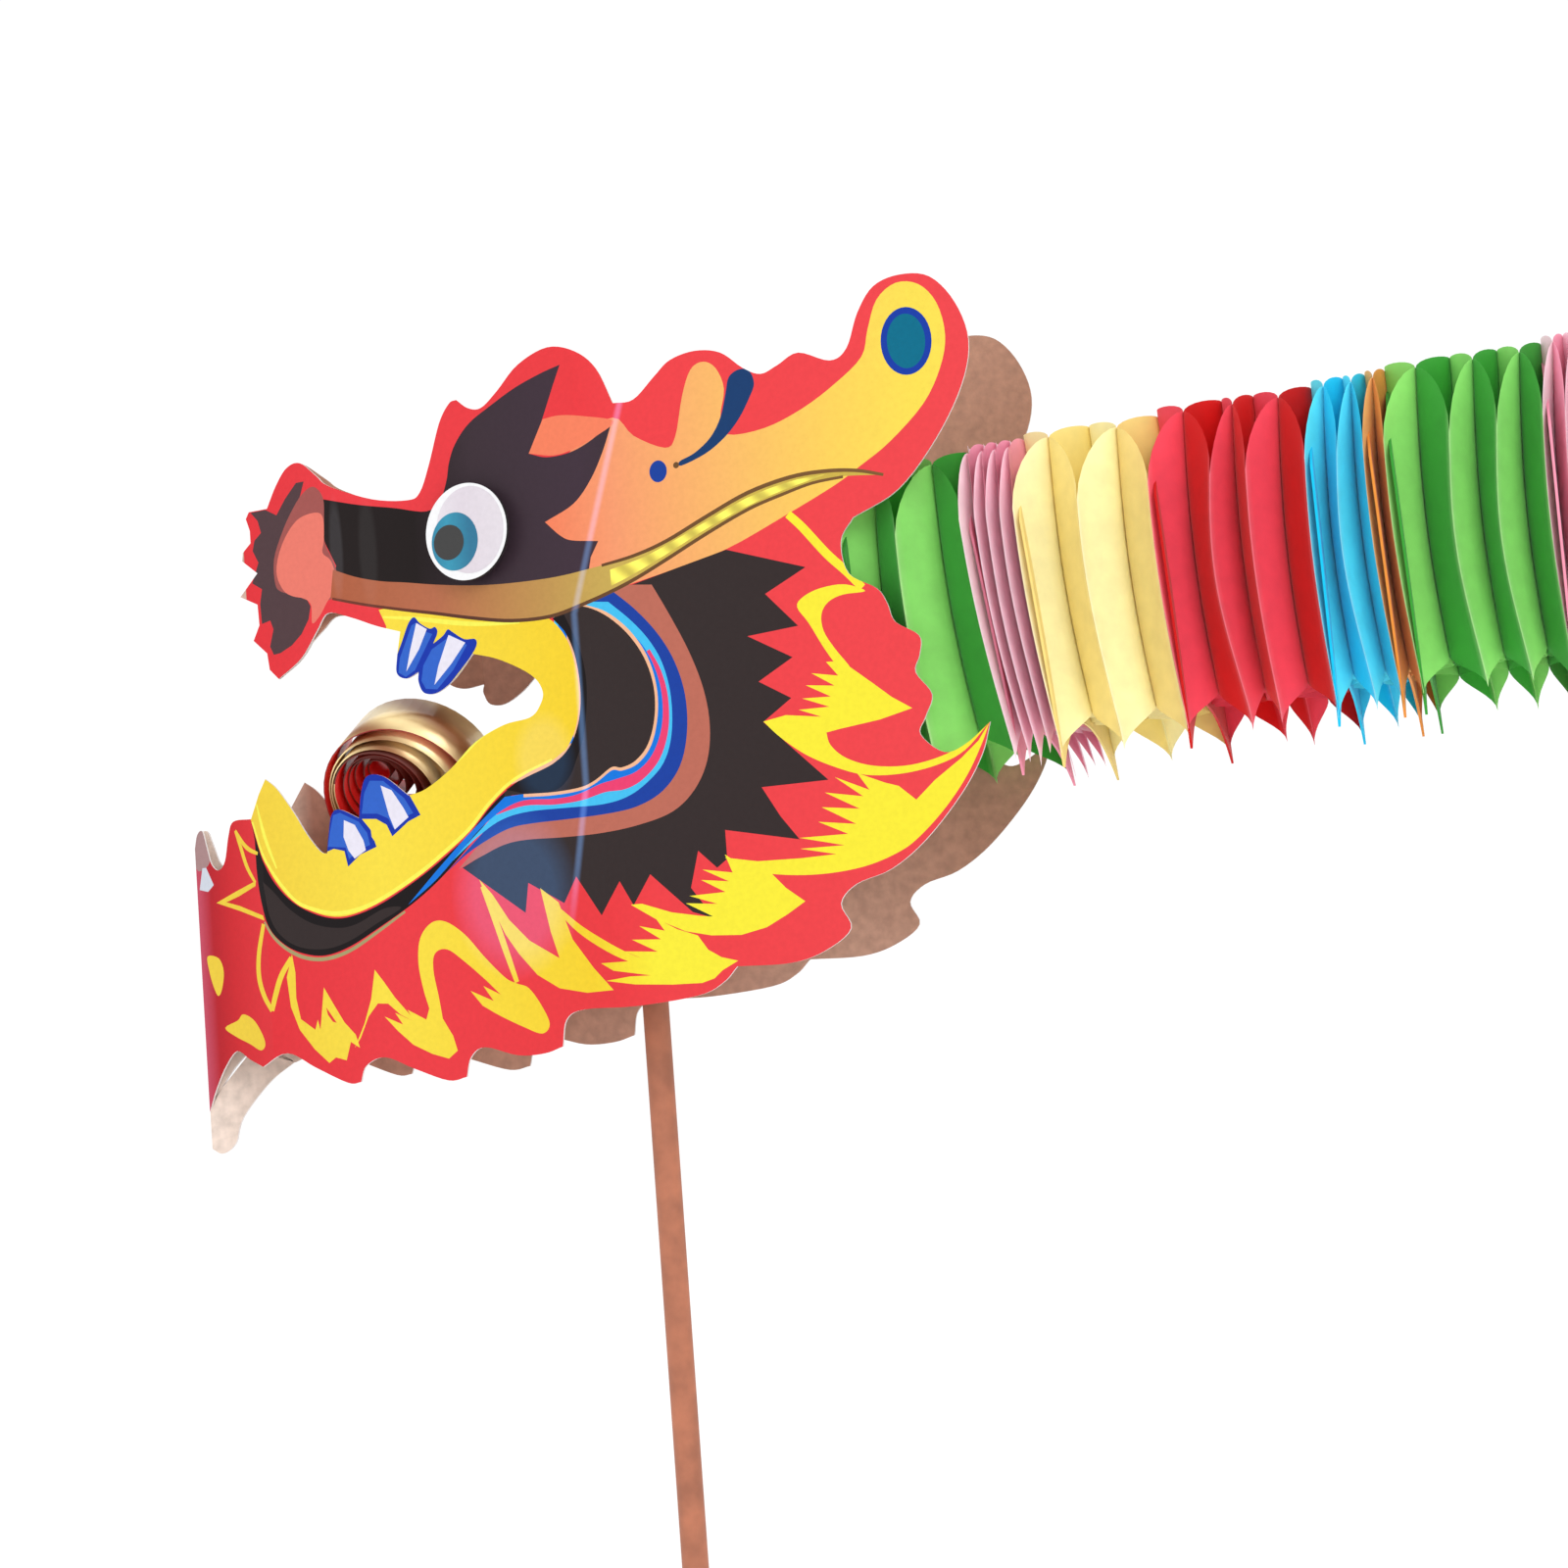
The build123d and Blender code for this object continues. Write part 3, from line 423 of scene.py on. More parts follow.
# painted areas, back to front: (ink, outline)
ART = [
    ("face", smooth((9.3, 320), (14, 315.2), (21.3, 311.4), (24, 313.5), (26.3, 322), (28.7, 327.4), (31.8, 328.7),
      (34.7, 326.8), (36.3, 322), (35, 316), (36.3, 312), (45, 312), (54, 314.8), (62, 319), (68.2, 323.6), (70, 329),
      (72.5, 335), (77, 337.8), (82, 336.6), (85.6, 332), (86.9, 325), (85.3, 318.5), (81, 311.5), (73, 304.7),
      (66, 300.6), (60, 297.4), (48, 292.5), (34, 287.3), (20, 284.4), (8, 282.4), (-10, 280), (-12, 300), (0, 316))),
    ("navy", smooth((36.6, 321), (37.6, 324.3), (40, 325.6), (42.4, 325), (43.4, 322), (42, 319), (39.3, 315),
      (35.8, 311.6), (31, 308.7), (25, 306.9), (24.6, 307.9), (28.3, 309.2), (32.3, 312), (35, 316))),
    ("band_edge", ellipse(23.7, 307.2, 0.7, 0.7)),
    ("dot", ellipse(19.3, 306.5, 2.1, 2.4)),
    ("blue_rim", ellipse(78.3, 325.2, 5.6, 7.2, 4)),
    ("teal", ellipse(78.3, 325.2, 4.2, 5.8, 4)),
    ("dark", [(-72, 316)] + curve([(-70, 314.2), (-60, 311.3), (-50, 309), (-41, 306.8), (-37, 309), (-35, 313),
      (-34, 317), (-32, 321), (-28, 325), (-22, 328), (-15, 331), (-8, 333), (-3, 334)]) + [(-5, 330), (-9, 321.5),
      (-12.6, 315.5)] + curve([(-12.6, 315.5), (-8, 313.9), (-2, 314), (3, 315.6), (8.8, 318.8)]) +
      curve([(8.8, 318.8), (6, 312.5), (2.5, 306.8), (-2, 302.4), (-9.6, 299.5)]) + curve([(-9.6, 299.5), (-6, 296),
      (-3, 294.4), (3.6, 293.3)]) + [(1.5, 290), (0.5, 286), (-10, 285), (-30, 286), (-60, 290), (-68.5, 294)] +
      curve([(-67.3, 298), (-69, 301.5), (-70.4, 305), (-70.2, 310), (-70.6, 312.5)])),
    ("wedge", [(-12.6, 315.5), (-10.3, 319.4), (-8.4, 322.6)] + curve([(-8.4, 322.6), (-4, 322.7), (2, 321.5),
      (9.4, 319.2), (5, 316.6), (0, 314.8), (-6, 314), (-12.6, 315.5)])[1:-1]),
    ("nose_dark", [(-91.5, 314.3), (-87, 314.3), (-83.8, 312.5), (-81, 316), (-77.5, 319.3), (-75.2, 319.3),
      (-76.5, 316), (-80, 311), (-83, 305), (-84, 300), (-84, 297), (-82.5, 294.2), (-79.5, 292.4), (-76.5, 291.5),
      (-75.4, 289.5), (-76.2, 286.5), (-78.5, 283.3), (-81.5, 281), (-85, 279.6), (-87, 279.4), (-88, 281.5),
      (-86.7, 285.5), (-87.5, 287.7), (-90, 287.2), (-90.2, 292), (-89.4, 295.5), (-92.2, 297.3), (-91, 299.8),
      (-90, 302), (-91.5, 305), (-90.8, 307.4), (-88.7, 309), (-89.5, 312)]),
    ("nose_brown", smooth((-85.3, 296), (-85.3, 302), (-82.5, 308), (-79.5, 312.5), (-76, 316.3), (-72.5, 317.6),
      (-69.9, 314.5), (-70, 309), (-70.2, 304), (-67.6, 298), (-67.3, 293), (-69.5, 290.3), (-76, 291), (-80, 293),
      (-83.5, 294))),
    ("salmon", smooth((-84.7, 298), (-84.2, 302), (-82, 306.3), (-79, 309.6), (-76, 311.1), (-71.8, 311.3),
      (-70.2, 309.5), (-70.4, 304.5), (-71, 301.6), (-68.9, 299.6), (-67.8, 296.3), (-68.2, 292.5), (-70.6, 289.8),
      (-72.8, 287), (-75.2, 285.4), (-75.2, 289.6), (-77, 291.5), (-80.5, 292.6), (-83, 294.3))),
    ("mane", [(8, 282), (20, 284.4), (34, 287.2), (52, 281), (42.3, 276.5), (49.3, 268.8), (37.5, 268), (47.5, 262.3),
      (39.3, 258), (46.5, 253.7), (39.7, 249.3), (46, 243), (53.5, 235.6), (38.2, 235.5), (42, 229), (46, 223.7),
      (29, 227.2), (29, 221), (26.5, 219.3), (22.3, 223.3), (20, 215.5), (25, 208.6), (20, 210.3), (10.5, 219.2),
      (6, 212.8), (3, 218.3), (-2, 211.2), (-7.8, 220.2), (-11.3, 214.6), (-20.3, 219.8), (-21.5, 213.2),
      (-37.5, 224.6), (-20, 232), (0, 240)]),
    ("black", [(-97, 240)] + curve([(-96.3, 236), (-96.2, 228), (-95.2, 221), (-93, 214.6), (-88.5, 210.4),
      (-83, 208.1), (-77, 207.4), (-70, 209), (-62, 212.5), (-52, 217.4), (-44, 222.4), (-37, 228), (-30, 234.4),
      (-24, 239.3), (-18, 240.6)]) + [(-12, 244.9)] + curve([(-12, 245.2), (-20, 242.9), (-24, 241.1), (-29, 237.6),
      (-35, 232.2), (-42, 227.5), (-50, 223), (-60, 218.4), (-68, 216.1), (-74, 215.8), (-80, 217.4), (-86, 220.6),
      (-90.8, 225.4), (-93.8, 230.6), (-95.9, 236.3), (-97, 240)])[:-1]),
    ("mane", curve([(-94.3, 226), (-93, 218), (-90, 213), (-84.5, 209.8), (-77, 208.9), (-70, 210.3), (-62, 213.8),
      (-55, 216.8), (-60, 217), (-68, 214), (-74, 213.6), (-81, 215.3), (-87, 219), (-91, 223), (-94.3, 226)])[:-1]),
    ("olive", stroke([(-94.6, 216.5), (-92, 212.6), (-88, 209.4), (-83, 207.2), (-77, 206.6), (-70, 208.1),
      (-62, 211.8), (-54, 215.9)], 0.9, 0.4)),
    ("terracotta", curve([(-38.5, 224.4), (-32, 226.8), (-26, 228.8), (-20, 229.4), (-10, 229.1), (0, 229.2),
      (9, 230.2), (17, 232.3), (22.5, 236.5), (26, 242.5), (27.2, 250), (26.3, 258), (23.5, 266.5), (19.5, 275),
      (15.8, 282)]) + [(8, 283), (0, 282), (-9, 279.4), (-9, 240), (-25, 236)]),
    ("throat_navy", curve([(-42, 223.8), (-36, 227.6), (-30, 230.4), (-24, 232.4), (-18, 232.9), (-8, 233),
      (2, 233.3), (9, 234.3), (15, 237), (19.5, 242), (21.7, 249), (21.9, 257), (20, 264.5), (16.5, 271), (11.5, 277),
      (6, 282)]) + [(0, 281.5), (-9, 279.2), (-9, 240), (-25, 237)]),
    ("cyan", curve([(-47, 221.4), (-38, 227.8), (-32, 231.7), (-26, 234.5), (-19, 235.6), (-8, 235.5), (0, 235.4),
      (6, 236.4), (11, 238.9), (15.6, 243), (18, 249), (18.5, 257), (17.2, 264), (14.6, 269.4), (10.5, 274.5),
      (5, 279.6)]) + [(-2, 280.5), (-9, 279), (-9, 240), (-25, 238)]),
    ("pink", curve([(-28, 235.6), (-20, 237), (-12, 236.5), (-5, 236.8), (1, 238), (6, 238.2), (10.5, 240),
      (14.8, 244), (17.3, 250), (17.8, 257), (16.6, 263), (14.2, 268)]) + [(10, 266), (10, 250), (0, 243),
      (-20, 239.5)]),
    ("mid_blue", curve([(-53, 217.4), (-45, 222.4), (-38, 228.1), (-32, 233), (-26, 236.5), (-20, 238.2),
      (-12, 237.8), (-6, 238.2), (0, 239.9), (4, 240.6), (9, 241.8), (13, 245), (15.7, 250.5), (16.4, 257),
      (15.4, 263), (13, 268.4), (9.3, 272.8), (4.6, 276.6)]) + [(0, 278), (-8, 278.5), (-8, 240), (-25, 239.5),
      (-36, 231.5), (-45, 224.2)]),
    ("peach", curve([(-1, 279.8), (4.4, 277.4), (9.6, 272.8), (13.4, 266.8), (15.2, 260), (15, 253.4), (13, 247.2),
      (9.5, 243.5), (5.5, 242.3), (3, 242.6), (-1, 240.3), (-5, 239), (-12, 238.6), (-20, 238.9)]) + [(-20, 243),
      (-6, 250), (-6, 275)]),
    ("mane", curve([(-9, 278.4), (-5, 279.4), (-1, 279.3), (4, 276.8), (9, 272.2), (12.7, 266.4), (14.5, 260),
      (14.3, 253.5), (12.3, 247.6), (9, 244.2), (5.5, 243), (3, 243.3), (-1, 241), (-5, 239.7), (-12, 239.3),
      (-20, 239.6), (-25, 239.6)]) + curve([(-25, 240.4), (-20, 243), (-12, 245.4), (-8, 247.8), (-5.4, 251.6),
      (-3.8, 257), (-3.4, 263), (-4.3, 269), (-6, 273.6), (-9, 278.4)])[:-1]),
    ("black", curve([(-9.4, 277.8), (-6, 273.8), (-4.3, 269), (-3.5, 263), (-3.8, 257), (-5.4, 251.8), (-8.1, 248),
      (-12, 245.6), (-20, 243.1), (-24.5, 241)]) + curve([(-20, 239.8), (-12, 239.6), (-8, 242), (-5.6, 246),
      (-3.4, 251), (-2.2, 257), (-1.8, 263), (-2.6, 269), (-4.4, 274), (-6.5, 278.6)])),
    ("yellow", [(-56, 286), (-54.2, 282)] + [(-56, 262), (-66, 246), (-92, 253), (-95.5, 247), (-97.4, 241.3)] +
      curve([(-97.4, 241.3), (-95.5, 236.5), (-93.4, 231), (-90.5, 225.8), (-86, 221), (-80, 217.8), (-74, 216.2),
      (-68, 216.5), (-60, 218.9), (-50, 223.4), (-42, 228), (-35, 232.6), (-29, 238), (-24, 241.6), (-20, 243.4),
      (-12, 245.8), (-8.4, 248.2), (-5.8, 251.8), (-4.2, 257), (-3.9, 263), (-4.8, 269), (-6.4, 273.4), (-9, 276.8),
      (-12, 279)]) + [(-30, 283), (-45, 286.5)]),
    ("lemon", stroke([(-96.8, 240.5), (-93, 230.6), (-86, 221.6), (-80, 218.4), (-72, 216.9), (-62, 218.7),
      (-50, 224), (-42, 228.6), (-35, 233.2), (-29, 238.6), (-22, 243.2), (-12, 246.5)], 1.0, 0.4)),
    ("lemon", stroke([(-50, 242.9), (-44, 245), (-36, 250), (-30, 254), (-22, 256.8)], 1.5, 0.5)),
    ("lemon", stroke([(-55, 284.2), (-46, 282.6), (-36, 280.4), (-28, 279), (-18, 278)], 1.1, 0.6)),
    ("lemon", stroke([(-95, 244.6), (-92.8, 236), (-90, 228.8)], 0.9, 0.6)),
    ("band", curve([(-68.3, 297.2), (-62, 294.6), (-55, 292.6), (-48, 291.3), (-40, 289.7), (-30, 288.1),
      (-20, 287.2), (-8, 286.9), (2, 287.6), (12, 288.9), (20, 291), (30, 295), (40, 298.7), (50, 300.6), (58, 300.8),
      (65, 299.9), (71, 298)]) + curve([(71, 298), (62, 299), (55, 298.7), (48, 297.3), (40, 295.2), (30, 291.6),
      (20, 287.2), (12, 284), (5, 281.6), (-2, 279.8), (-10, 278.4), (-20, 278.8), (-30, 280.8), (-40, 283.2),
      (-50, 285.5), (-60, 288), (-69.5, 290.6)])),
    ("stripe", curve([(6, 286.6), (14, 288.2), (22, 290.9), (30, 294), (40, 297.7), (50, 299.7), (58, 300)]) +
      curve([(58, 300), (55, 299.4), (48, 298), (40, 295.9), (30, 292.4), (20, 288.2), (12, 285), (6, 283)])),
    ("band_edge", stroke([(-69, 290.4), (-60, 287.8), (-50, 285.3), (-40, 283), (-30, 280.6), (-20, 278.7),
      (-10, 278.3), (-2, 279.7), (5, 281.5), (12, 283.8), (20, 287.1), (30, 291.4), (40, 295.2), (48, 297.2),
      (55, 298.6), (62, 298.9)], 0.85, 0.3)),
    ("band_edge", stroke([(4, 287.8), (12, 288.9), (20, 291), (30, 295), (40, 298.7), (50, 300.6), (58, 300.7),
      (65, 299.8), (71, 298)], 0.9, 0.3)),
    ("peach", stroke([(-23, 242.2), (-18, 244), (-12, 245.9), (-8.6, 248)], 0.8, 0.7)),
    # flames at the rear
    ("yellow", stroke([(48.9, 292.8), (52, 289.5), (57, 283.2), (61, 279), (64.4, 275)], 1.9, 0.1)),
    ("yellow", smooth((65, 274.2), (60.5, 276.2), (55, 276.1), (51, 274.8), (49.4, 272.8), (51.8, 269), (55, 263),
      (58, 258.7), (60.4, 258.4), (57.2, 263), (55, 267), (54.8, 270.6), (56.6, 273), (60, 274.1))),
    ("yellow", [(58, 260.2), (60.4, 258.6), (65, 254.8), (69, 251.4), (73.3, 248.6), (66, 247), (57, 246),
      (53.5, 245.5), (47, 247.8), (39.7, 249.4), (45, 250.2), (53, 249), (48, 251), (55, 250.9), (49, 253.3),
      (55.5, 253), (50, 256), (56.5, 255.2), (51.5, 258.4), (57.5, 257.2), (55, 260.4)]),
    ("yellow", [(39.7, 249.4), (46, 248.4), (53.8, 245.9)] + curve([(53.8, 245.9), (54.6, 242.8), (58, 239.7),
      (64, 237.5), (72, 236.9), (80, 238.4), (85, 241), (89.7, 244)]) + curve([(89.7, 244), (84, 238.8), (78, 236.4),
      (70, 235.3), (62, 235.8), (55.5, 238), (49, 241.3), (43.5, 245.5), (39.7, 249.4)])[1:-1]),
    ("yellow", curve([(89.7, 244), (87.6, 239.6), (84, 233.6), (79, 227.6), (73, 222.2), (68, 219.2), (60, 216.8),
      (50, 216), (40, 216.8), (32, 218.8), (28.5, 221.3)]) + [(36, 219.9), (46, 219.7), (54, 219.9), (46, 221.7),
      (56, 221.6), (46, 224), (57, 223.9), (50.5, 227), (59, 225.8), (51.5, 230), (60, 228.9), (52.5, 233),
      (61, 231.4), (55, 236), (62.5, 232.6), (60, 236.4), (66, 233.8), (69, 232.8), (72.6, 229.6), (77, 233.3),
      (83, 237.2), (87, 240.4)]),
    ("yellow", [(28.5, 222), (33, 218.8), (38.5, 217.6), (42, 213.8), (46.2, 210.6), (42, 208.2), (37, 205.8),
      (31, 204.6), (24, 205), (18, 206.3), (11, 209.5), (5.3, 213), (8, 213), (15, 210.6), (22, 209.3), (24.7, 209),
      (18.5, 212.3), (26, 211.6), (19.5, 213.8), (28, 214), (22.5, 217), (29, 216.2), (23, 219.2), (30, 218)]),
    ("yellow", [(11, 209.7), (16, 206.9), (20.8, 205.2), (23, 202), (26, 200.2), (29.8, 199.2), (26, 197.4),
      (24, 195.8), (21, 195), (14, 195.1), (5, 195.7), (-2, 196.9), (4, 197.5), (9, 197.4), (0, 199), (-3, 200.8),
      (4, 200.8), (9, 200.4), (3, 203), (11, 202.4), (5, 205.4), (12, 205), (7, 208.2), (13, 206.8)]),
    ("yellow", stroke([(-13, 213.4), (-8, 208.8), (-2, 204.8), (4, 201.6), (9, 200)], 1.9, 0.5)),
    ("yellow", [(-33.2, 221.6), (-30, 218), (-26, 212), (-21, 207), (-13.5, 202.6), (-15.3, 208.5), (-17.3, 218.4),
      (-12.8, 214.9), (-9.8, 206.5), (-5, 200), (-0.3, 194.8), (-7, 194.6), (-14, 196), (-19.5, 199.3), (-24, 204.3),
      (-27.2, 208.8), (-29.5, 213.5), (-31.5, 217)]),
    ("yellow", stroke([(-32.5, 220), (-29.6, 212), (-27.3, 205), (-25, 198)], 1.6, 0.3)),
    ("yellow", curve([(-49, 193.5), (-50.3, 198), (-51.2, 204), (-50.3, 209.5), (-47, 212.8), (-43, 212.8),
      (-38, 209.5), (-33, 204), (-28, 199.2), (-25, 197.7), (-22, 196.5), (-19, 192.5), (-17.2, 188.3),
      (-19.3, 186.3), (-24, 188), (-30, 190.8), (-34.5, 193.3)]) + [(-37.5, 196.8), (-31.5, 194.2), (-34, 197.7),
      (-29.5, 195.5)] + curve([(-33, 198.8), (-38, 203), (-43, 206.5), (-46.5, 205.8), (-47.2, 202), (-46.2, 196),
      (-45.5, 191)])),
    ("yellow", [(-45.5, 191), (-43, 187), (-42, 183.6), (-44.5, 181.9), (-49, 183.2), (-54, 185.5), (-58, 188.8),
      (-61.5, 192.3), (-56.5, 190.2), (-58.5, 193), (-53.5, 190.8), (-55, 193.5), (-50, 191), (-49, 193.5)]),
    ("yellow", [(-70.5, 185.5), (-67.3, 191), (-65, 196.5), (-63.5, 203.2), (-61.3, 200.5), (-58.3, 196.5),
      (-52.5, 190.3), (-57, 192.5), (-60.3, 195.2), (-63.2, 195.4), (-66, 192.6), (-68.6, 187.8)]),
    ("yellow", [(-87, 208.3), (-86.3, 204), (-86.5, 198), (-85.5, 193), (-81.5, 190.3), (-80.6, 192.6), (-80, 190.2),
      (-78.3, 200), (-76, 196.3), (-73, 191.6), (-70, 188.6), (-69, 185.5), (-71.5, 187), (-73, 182.8), (-76, 183.6),
      (-78, 182.4), (-82, 185.8), (-86, 190.5), (-88.2, 196), (-88.9, 203)]),
    ("red", [(-78, 195.4), (-75.2, 191.6), (-76.3, 191.9), (-77.6, 193.6)]),
    ("yellow", stroke([(-87.2, 207.5), (-90.5, 203.4), (-92.6, 198.8), (-93.8, 195.4)], 1.5, 0.2)),
    ("yellow", stroke([(-93.8, 195.4), (-96.2, 199), (-97.6, 203.5), (-97.2, 209), (-95, 216)], 1.5, 0.2)),
    ("yellow", [(-94.6, 216.8), (-103, 219.7), (-111.2, 222.2), (-104, 224.4), (-96.8, 226.4), (-97, 225.2),
      (-103, 223.2), (-107.6, 222.1), (-103, 220.9), (-95, 218)]),
    ("yellow", stroke([(-97, 226), (-99.6, 230), (-101.4, 234.8), (-103, 239)], 1.1, 0.3)),
    ("yellow", stroke([(-103, 239), (-100.6, 235.8), (-98.4, 234), (-95.6, 232.8)], 1.1, 0.3)),
    ("yellow", smooth((-110.6, 192), (-106, 193.6), (-104, 195), (-100.5, 193.6), (-98, 190.6), (-96.8, 187.6),
      (-98.5, 186.2), (-102, 187.8), (-107, 189.8))),
    ("yellow", smooth((-115.5, 209.5), (-111.5, 208.8), (-110, 205.5), (-111, 201.3), (-112.5, 199.8), (-114, 202.2),
      (-115.2, 206))),
    # painted highlights on the front corner of the lower jaw, greyed pink and pale white
    ("lilac_highlight", smooth((-117.8, 231), (-117.5, 240.5), (-114.5, 241), (-112.6, 235), (-113.4, 231.5))),
    ("pale", [(-117, 225.8), (-115.6, 231), (-114.2, 231), (-111.8, 226.6), (-114, 225.1)]),
    # teeth
    ("tooth_edge", smooth((-48, 281.8), (-46.3, 283), (-44.8, 281.4), (-42.2, 279.8), (-40.7, 280), (-40.4, 278),
      (-44.5, 272.5), (-46.3, 270), (-49.5, 268.5), (-52.6, 270), (-52.3, 273.5), (-50, 278))),
    ("tooth_blue", [(-47.2, 281.2), (-46, 281.6), (-44, 279.5), (-41.6, 278.5), (-45.2, 273.4), (-47, 270.8),
      (-49.6, 269.6), (-51.6, 270.8), (-51, 274)]),
    ("tooth_white", [(-45.8, 281.6), (-43, 279.8), (-45.5, 275.5), (-49.4, 270.8), (-48, 275.5)]),
    ("tooth_edge", smooth((-38.6, 277.8), (-37.3, 279), (-36, 278.2), (-33, 276.2), (-30, 275.8), (-30.4, 273.4),
      (-36, 268), (-41, 264.4), (-45, 264.8), (-46.8, 267.5), (-45.9, 272), (-43, 275.6), (-41, 276.5))),
    ("tooth_blue", [(-38, 276.8), (-36.8, 277.8), (-32.4, 274.8), (-36.5, 269.6), (-41.2, 265.7), (-44.3, 266.2),
      (-45.4, 268.2), (-44.6, 271.6), (-42, 275), (-39.8, 276)]),
    ("tooth_white", [(-37.2, 277.7), (-32.8, 275.4), (-37, 271), (-41.9, 266.8), (-40.5, 271)]),
    ("tooth_edge", [(-76, 231.2), (-74.8, 236), (-73.6, 240.8), (-71, 241.8), (-64.8, 238.6), (-62.2, 235.5),
      (-60.8, 231.4), (-65.5, 230), (-69.2, 227.5), (-70, 231.2), (-73, 232)]),
    ("tooth_blue", [(-74.6, 232.6), (-73.8, 236), (-72.6, 239.8), (-70.6, 240.2), (-65.4, 237.6), (-63.2, 234.8),
      (-62.6, 232), (-66, 231), (-68.8, 229.2), (-69.6, 232)]),
    ("tooth_white", [(-69.6, 238.4), (-66.6, 237), (-64.4, 233.2), (-63.9, 230.9), (-67.2, 229.2), (-68.8, 231.2),
      (-70, 234.5)]),
    ("tooth_edge", [(-65.6, 238.3), (-64.8, 244), (-62.9, 248.4), (-57.3, 247.9), (-51, 242.9), (-48, 237.6),
      (-51.5, 236.4), (-56.2, 233.4), (-57.6, 236.2), (-60.4, 237.8)]),
    ("tooth_blue", [(-64.4, 239.4), (-63.4, 244), (-61.6, 246.8), (-57.8, 246.4), (-52.2, 241.8), (-50, 238.2),
      (-52.2, 237.6), (-55.8, 235.2), (-57, 237.6), (-60, 239)]),
    ("tooth_white", [(-58.6, 245.4), (-55.6, 244), (-52.6, 239.6), (-51.4, 237.4), (-55.4, 234.9), (-56.8, 238.4)]),
    ("yellow", [(-62.3, 237.6), (-60.4, 234.4), (-60.6, 231.8), (-62, 233.8)]),
]


# --------------------------------------------------------- folding the card
CARD = 0.6
# x and half width at the nose, chin, cheek and rear
FOLDS = [(-118.0, 0.35), (-94.0, 9.0), (0.0, 23.0), (93.0, 30.0)]
JAW_X, JAW_Z = -14.0, 262.0  # in front of and above this is the upper jaw
JAW_BEND_X, JAW_BEND_Y = -46.0, 18.3
JAW_MIDDLE = (-60.0, 2.8)
NOSE_GLUE_X, NOSE_GLUE_Y = -76.0, -10.54


def fold_width(x, z):
    """Half width of the head at x, mm, on the card's outer face."""
    for (x0, w0), (x1, w1) in zip(FOLDS, FOLDS[1:]):
        if x <= x1 or x1 == FOLDS[-1][0]:
            return w0 + (w1 - w0) * (x - x0) / (x1 - x0)


def far_width(x, z):
    """The far half; its upper jaw bends across to the near half at the nose."""
    if z < JAW_Z or x > JAW_X:
        return fold_width(x, z)
    if x > JAW_BEND_X:
        return JAW_BEND_Y + 0.0828 * (x - JAW_BEND_X)
    if x > NOSE_GLUE_X:
        t = x - JAW_MIDDLE[0]
        return JAW_MIDDLE[1] + 0.97956 * t + 0.009113 * t * t
    return NOSE_GLUE_Y - 0.1218 * (x - NOSE_GLUE_X)


def inside(point, ring):
    x, z = point
    hit = False
    j = len(ring) - 1
    for i in range(len(ring)):
        xi, zi = ring[i]
        xj, zj = ring[j]
        if (zi > z) != (zj > z) and x < (xj - xi) * (z - zi) / (zj - zi) + xi:
            hit = not hit
        j = i
    return hit


def card_side(name, outline, art, width, side, creases):
    """One side of a printed card: inked outer face, kraft inner face and a white cut edge."""
    co, edges = [], []

    def ring_in(points):
        start = len(co)
        for p in points:
            if not co or (Vector(p) - co[-1]).length > 0.02 or len(co) == start:
                co.append(Vector(p))
        n = len(co) - start
        edges.extend((start + k, start + (k + 1) % n) for k in range(n))

    ring_in(outline)
    for _, points in art:
        ring_in(points)
    lo_z = min(p[1] for p in outline) - 5
    hi_z = max(p[1] for p in outline) + 5
    for x in creases:
        start = len(co)
        co.extend([Vector((x, lo_z)), Vector((x, hi_z))])
        edges.append((start, start + 1))
    verts, tri_edges, faces, *_ = delaunay_2d_cdt(co, edges, [], 0, 1e-3)
    boxes = []
    for _, points in art:
        xs, zs = zip(*points)
        boxes.append((min(xs), max(xs), min(zs), max(zs)))
    bm = bmesh.new()
    outer, inner = {}, {}

    def corner(store, i, off):
        if i not in store:
            x, z = verts[i]
            w = width(x, z) - off
            store[i] = bm.verts.new((x * MM, side * w * MM, z * MM))
        return store[i]

    names = list(INK)
    border = {}
    for f in faces:
        c = (verts[f[0]] + verts[f[1]] + verts[f[2]]) / 3
        if not inside(c, outline):
            continue
        ink = "red"
        for k in range(len(art) - 1, -1, -1):
            b = boxes[k]
            if b[0] <= c[0] <= b[1] and b[2] <= c[1] <= b[3] and inside(c, art[k][1]):
                ink = art[k][0]
                break
        order = list(f) if side < 0 else list(f)[::-1]
        face = bm.faces.new([corner(outer, i, 0.0) for i in order])
        face.material_index = names.index(ink)
        face = bm.faces.new([corner(inner, i, CARD) for i in order[::-1]])
        face.material_index = len(names)
        for k in range(3):
            e = (f[k], f[(k + 1) % 3])
            border.setdefault(tuple(sorted(e)), []).append(e)
    for used in border.values():
        if len(used) == 1:
            a, b = used[0]
            quad = [outer[a], inner[a], inner[b], outer[b]]
            if side > 0:
                quad.reverse()
            face = bm.faces.new(quad)
            face.material_index = len(names) + 1
    return make_object(bm, name, [*INK.values(), KRAFT, RIM])


